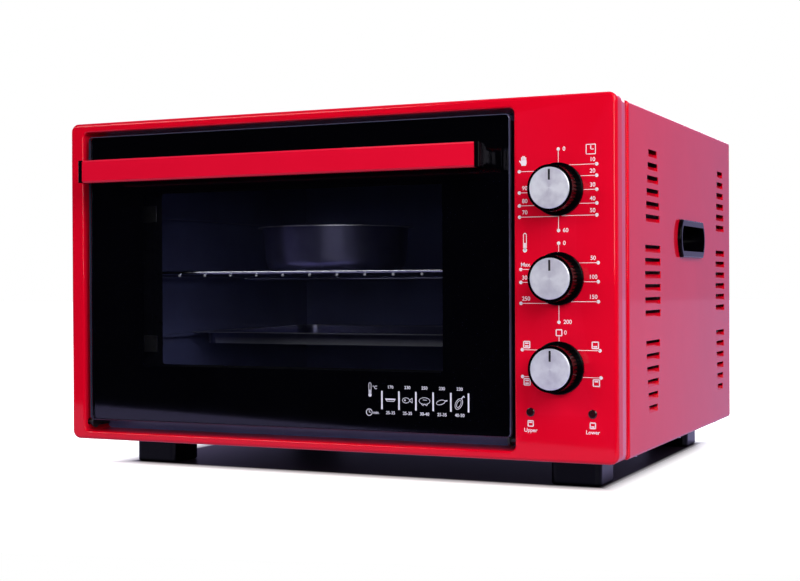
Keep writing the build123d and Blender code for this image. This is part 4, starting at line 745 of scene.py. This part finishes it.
# The clear window in the black print, and the pane's rounded corners
WINDOW_X = (-195.5, 118.2)
WINDOW_Z = (73.0, 241.0)
WINDOW_CORNER = 3.0
GLASS_CORNER = 4.0
CORNER_STEPS = 6
PRINT_EDGE = 0.5
PRINT_DEPTH = 0.15 * MM


def rounded_outline(x, z, corner):
    """Corner points of a rounded rectangle, anticlockwise from its lower right corner."""
    points = []
    for centre_x, centre_z, start in (
        (x[1] - corner, z[0] + corner, -90),
        (x[1] - corner, z[1] - corner, 0),
        (x[0] + corner, z[1] - corner, 90),
        (x[0] + corner, z[0] + corner, 180),
    ):
        for i in range(CORNER_STEPS + 1):
            angle = math.radians(start + 90 * i / CORNER_STEPS)
            points.append((centre_x + corner * math.cos(angle), centre_z + corner * math.sin(angle)))
    return points


def window_print():
    """Black layer fired onto the outer pane's rear face, clear over the window."""
    ink = Print(GLASS_HIGH.y - PRINT_DEPTH)
    glass_x = (GLASS_LOW.x / MM + PRINT_EDGE, GLASS_HIGH.x / MM - PRINT_EDGE)
    glass_z = ((GLASS_LOW.z - FRONT_LOW.z) / MM + PRINT_EDGE, (GLASS_HIGH.z - FRONT_LOW.z) / MM - PRINT_EDGE)
    outer = rounded_outline(glass_x, glass_z, GLASS_CORNER)
    inner = rounded_outline(WINDOW_X, WINDOW_Z, WINDOW_CORNER)
    count = len(outer)
    for i in range(count):
        following = (i + 1) % count
        ink.face([outer[i], outer[following], inner[following], inner[i]])
    ink.finish("window_print", MATERIALS["print_black"], "pane_black", "door")


# Small pieces

# The pointer: a black inlay in each knob's cap, measured from the knob's axis
POINTER_WIDTH = 1.9 * MM
POINTER_INNER = 6.5 * MM
POINTER_OUTER = 15.5 * MM
POINTER_DEPTH = 0.35 * MM
POINTER_INSET = 0.1 * MM
POINTER_ROUNDING = 0.1 * MM

# The rack's wires, as the CAD model has them, and how far their domed ends stand out
RACK_WIRES = 13
RACK_PITCH = 29.2 * MM
RACK_WIRE_RADIUS = 1.5 * MM
RACK_WIRE_DROP = 4.9 * MM
TIP_BULGE = 0.6


def pointer(control):
    """Black inlay in the groove of a knob's metal cap."""
    low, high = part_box(f"{control}_knob_cap")
    size = Vector((POINTER_WIDTH, POINTER_DEPTH, POINTER_OUTER - POINTER_INNER))
    middle = Vector((
        (low.x + high.x) / 2,
        low.y + POINTER_INSET + POINTER_DEPTH / 2,
        (low.z + high.z) / 2 + (POINTER_INNER + POINTER_OUTER) / 2,
    ))
    shape = bmesh.new()
    for vertex in bmesh.ops.create_cube(shape, size=1.0)["verts"]:
        vertex.co = Vector(a * b for a, b in zip(vertex.co, size)) + middle
    inlay = mesh_object(f"{control}_pointer", shape, MATERIALS["pointer_black"])
    rounding = inlay.modifiers.new("rounding", "BEVEL")
    rounding.width = POINTER_ROUNDING
    rounding.segments = 2
    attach(inlay, f"{control}_dial")


def wire_tips():
    """Rounded front ends of the rack's wires in a near-white matt finish, a painted highlight that shows
    them as a row of bright dots.
    """
    low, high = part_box("wire_rack")
    wire_z = high.z - RACK_WIRE_DROP
    shape = bmesh.new()
    for index in range(RACK_WIRES):
        wire_x = (low.x + high.x) / 2 + (index - (RACK_WIRES - 1) / 2) * RACK_PITCH
        dome = bmesh.ops.create_uvsphere(shape, u_segments=16, v_segments=8, radius=RACK_WIRE_RADIUS)
        for vertex in dome["verts"]:
            vertex.co.y *= TIP_BULGE
            vertex.co += Vector((wire_x, low.y, wire_z))
    for face in shape.faces:
        face.smooth = True
    tips = mesh_object("wire_tips", shape, MATERIALS["tip_painted_highlight"])
    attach(tips, "rack")


panel_print()
glass_chart()
window_print()
wire_tips()
for control in ("timer", "thermostat", "selector"):
    pointer(control)


# Stage: a sheet of white paper whose near edge the glass mirrors, and a white surround

# The sheet's near edge and reach, how its painted shadow fades, and the colours of sheet and surround
PAPER_NEAR_LEFT = Vector((-0.682, -0.782))
PAPER_NEAR_RIGHT = Vector((0.035, -0.582))
PAPER_REACH = 6.0
PAPER_FADE = 0.03
PAPER_LIT = 0.25
PAPER_TONE = (0.90, 0.90, 0.91)
PAPER_BOUNCE = (0.48, 0.46, 0.62)
PAPER_PAINTED_SHADOW = (0.020, 0.012, 0.020)
PAPER_GLEAM = (0.60, 0.55, 1.0)
SKY_GLEAM = (0.52, 0.47, 0.90)
SKY_DARK = (0.006, 0.006, 0.010)
SKY_FILL = (0.22, 0.22, 0.24)


def away_from_feet(made, where):
    """Mask of the painted shadow: 0 between the feet, where the oven shades the floor, rising to 1 a little
    outside them.
    """
    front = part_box("foot_front_right")
    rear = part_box("foot_rear_left")
    place = components(made, where)
    beyond = []
    for axis, low, high in (("X", rear[0].x, front[1].x), ("Y", front[0].y, rear[1].y)):
        reach = (high - low) / 2
        offset = calculated(made, "SUBTRACT", place[axis], (low + high) / 2)
        distance = calculated(made, "ABSOLUTE", offset)
        beyond.append(ranged(made, distance, start=reach, stop=reach + PAPER_FADE))
    return calculated(made, "MAXIMUM", *beyond)


def paper_material():
    """White to the eye, pale lilac to gloss, a dimmer bounce, and a painted shadow: dark colour and no glow
    between the feet, where the oven shades it.
    """
    made, shader = new_material("paper")
    where = coordinates(made)
    path = add_node(made, "ShaderNodeLightPath").outputs
    outside = away_from_feet(made, where)
    white = two_tone(made, noise(made, where, grain=0.4), PAPER_TONE, scaled(PAPER_TONE, PAPER_CLOUD))
    tone = mixed(made, path["Is Camera Ray"], PAPER_BOUNCE, white)
    # Painted shadow: the sheet's colour turns dark between the feet.
    lit = two_tone(made, outside, NIGHT, WHITE, 0.0, PAPER_LIT)
    with_painted_shadow = mixed(made, lit, PAPER_PAINTED_SHADOW, tone)
    wire(made, mixed(made, path["Is Glossy Ray"], with_painted_shadow, PAPER_PAINTED_SHADOW), shader.inputs["Base Color"])
    # No glow between the feet, so the painted shadow stays dark to eye and gloss.
    direct = calculated(made, "MAXIMUM", path["Is Camera Ray"], path["Is Glossy Ray"])
    wire(made, calculated(made, "MULTIPLY", direct, outside), shader.inputs["Emission Strength"])
    glow = mixed(made, path["Is Glossy Ray"], WHITE, PAPER_GLEAM)
    wire(made, glow, shader.inputs["Emission Color"])
    set_inputs(shader, Roughness=0.5, Specular_IOR_Level=0.2)
    return made


def paper_floor():
    """A level sheet that ends in front of the oven and runs far back."""
    edge = (PAPER_NEAR_RIGHT - PAPER_NEAR_LEFT).normalized()
    back = Vector((-edge.y, edge.x)) * 2 * PAPER_REACH
    near_left = PAPER_NEAR_LEFT - edge * PAPER_REACH
    near_right = PAPER_NEAR_RIGHT + edge * PAPER_REACH
    corners = [near_left, near_right, near_right + back, near_left + back]
    shape = bmesh.new()
    shape.faces.new([shape.verts.new((corner.x, corner.y, 0.0)) for corner in corners])
    floor = mesh_object("paper", shape, paper_material())


def surround():
    """White to the eye; gloss sees it pale lilac behind the oven and dark in front; soft fill light."""
    world = bpy.data.worlds.new("studio")
    bpy.context.scene.world = world
    world.use_nodes = True
    background = world.node_tree.nodes["Background"]
    direction = add_node(world, "ShaderNodeTexCoord").outputs["Generated"]
    depth = ranged(world, components(world, direction)["Y"], start=-1.0)
    mirrored = two_tone(world, depth, SKY_DARK, SKY_GLEAM, 0.30, 0.80, blend="EASE")
    path = add_node(world, "ShaderNodeLightPath").outputs
    indirect = mixed(world, path["Is Glossy Ray"], SKY_FILL, mirrored)
    direct = calculated(world, "MAXIMUM", path["Is Camera Ray"], path["Is Transmission Ray"])
    wire(world, mixed(world, direct, indirect, WHITE), background.inputs["Color"])


def soft_light(name, place, target, width, height, watts):
    """A rectangular soft box aimed at a point."""
    lamp = bpy.data.lights.new(name, "AREA")
    lamp.shape = "RECTANGLE"
    lamp.size = width
    lamp.size_y = height
    lamp.energy = watts
    holder = bpy.data.objects.new(name, lamp)
    bpy.context.scene.collection.objects.link(holder)
    holder.location = place
    holder.rotation_euler = (Vector(target) - Vector(place)).to_track_quat("-Z", "Y").to_euler()


def lights():
    """Soft boxes, each with its place, the point it faces, its width and height, and its watts."""
    soft_light("key", (1.15, -1.0, 0.95), (0.15, -0.2, 0.17), 1.0, 1.0, 20)
    soft_light("front_fill", (-1.7, -2.4, 1.5), (0, -0.2, 0.17), 1.4, 1.0, 25)
    soft_light("window", (0.9, -2.4, 0.5), (-0.1, -0.1, 0.17), 0.8, 0.6, 10)
    soft_light("top", (-0.2, 0.9, 2.6), (0, 0, 0.1), 2.4, 2.0, 8)
    soft_light("left", (-2.6, 0.6, 1.1), (-0.2, 0, 0.15), 1.4, 1.2, 16)
    soft_light("rear", (-0.5, 2.8, 1.3), (0, 0.2, 0.15), 1.6, 1.2, 20)


def camera():
    """The photograph's viewpoint."""
    forward = Vector((
        -math.sin(CAMERA_YAW) * math.cos(CAMERA_PITCH),
        math.cos(CAMERA_YAW) * math.cos(CAMERA_PITCH),
        math.sin(CAMERA_PITCH),
    ))
    level = Vector((math.cos(CAMERA_YAW), math.sin(CAMERA_YAW), 0.0))
    upward = level.cross(forward)
    right = level * math.cos(CAMERA_ROLL) + upward * math.sin(CAMERA_ROLL)
    up = upward * math.cos(CAMERA_ROLL) - level * math.sin(CAMERA_ROLL)
    lens = bpy.data.cameras.new("photo")
    lens.sensor_width = SENSOR_MM
    lens.lens = FOCAL_PX / PHOTO_WIDTH_PX * SENSOR_MM
    viewer = bpy.data.objects.new("photo", lens)
    bpy.context.scene.collection.objects.link(viewer)
    turned = Matrix((right, up, -forward)).transposed().to_4x4()
    viewer.matrix_world = Matrix.Translation(CAMERA_PLACE) @ turned
    bpy.context.scene.camera = viewer


paper_floor()
surround()
lights()
camera()
bpy.context.scene.view_settings.view_transform = "Standard"
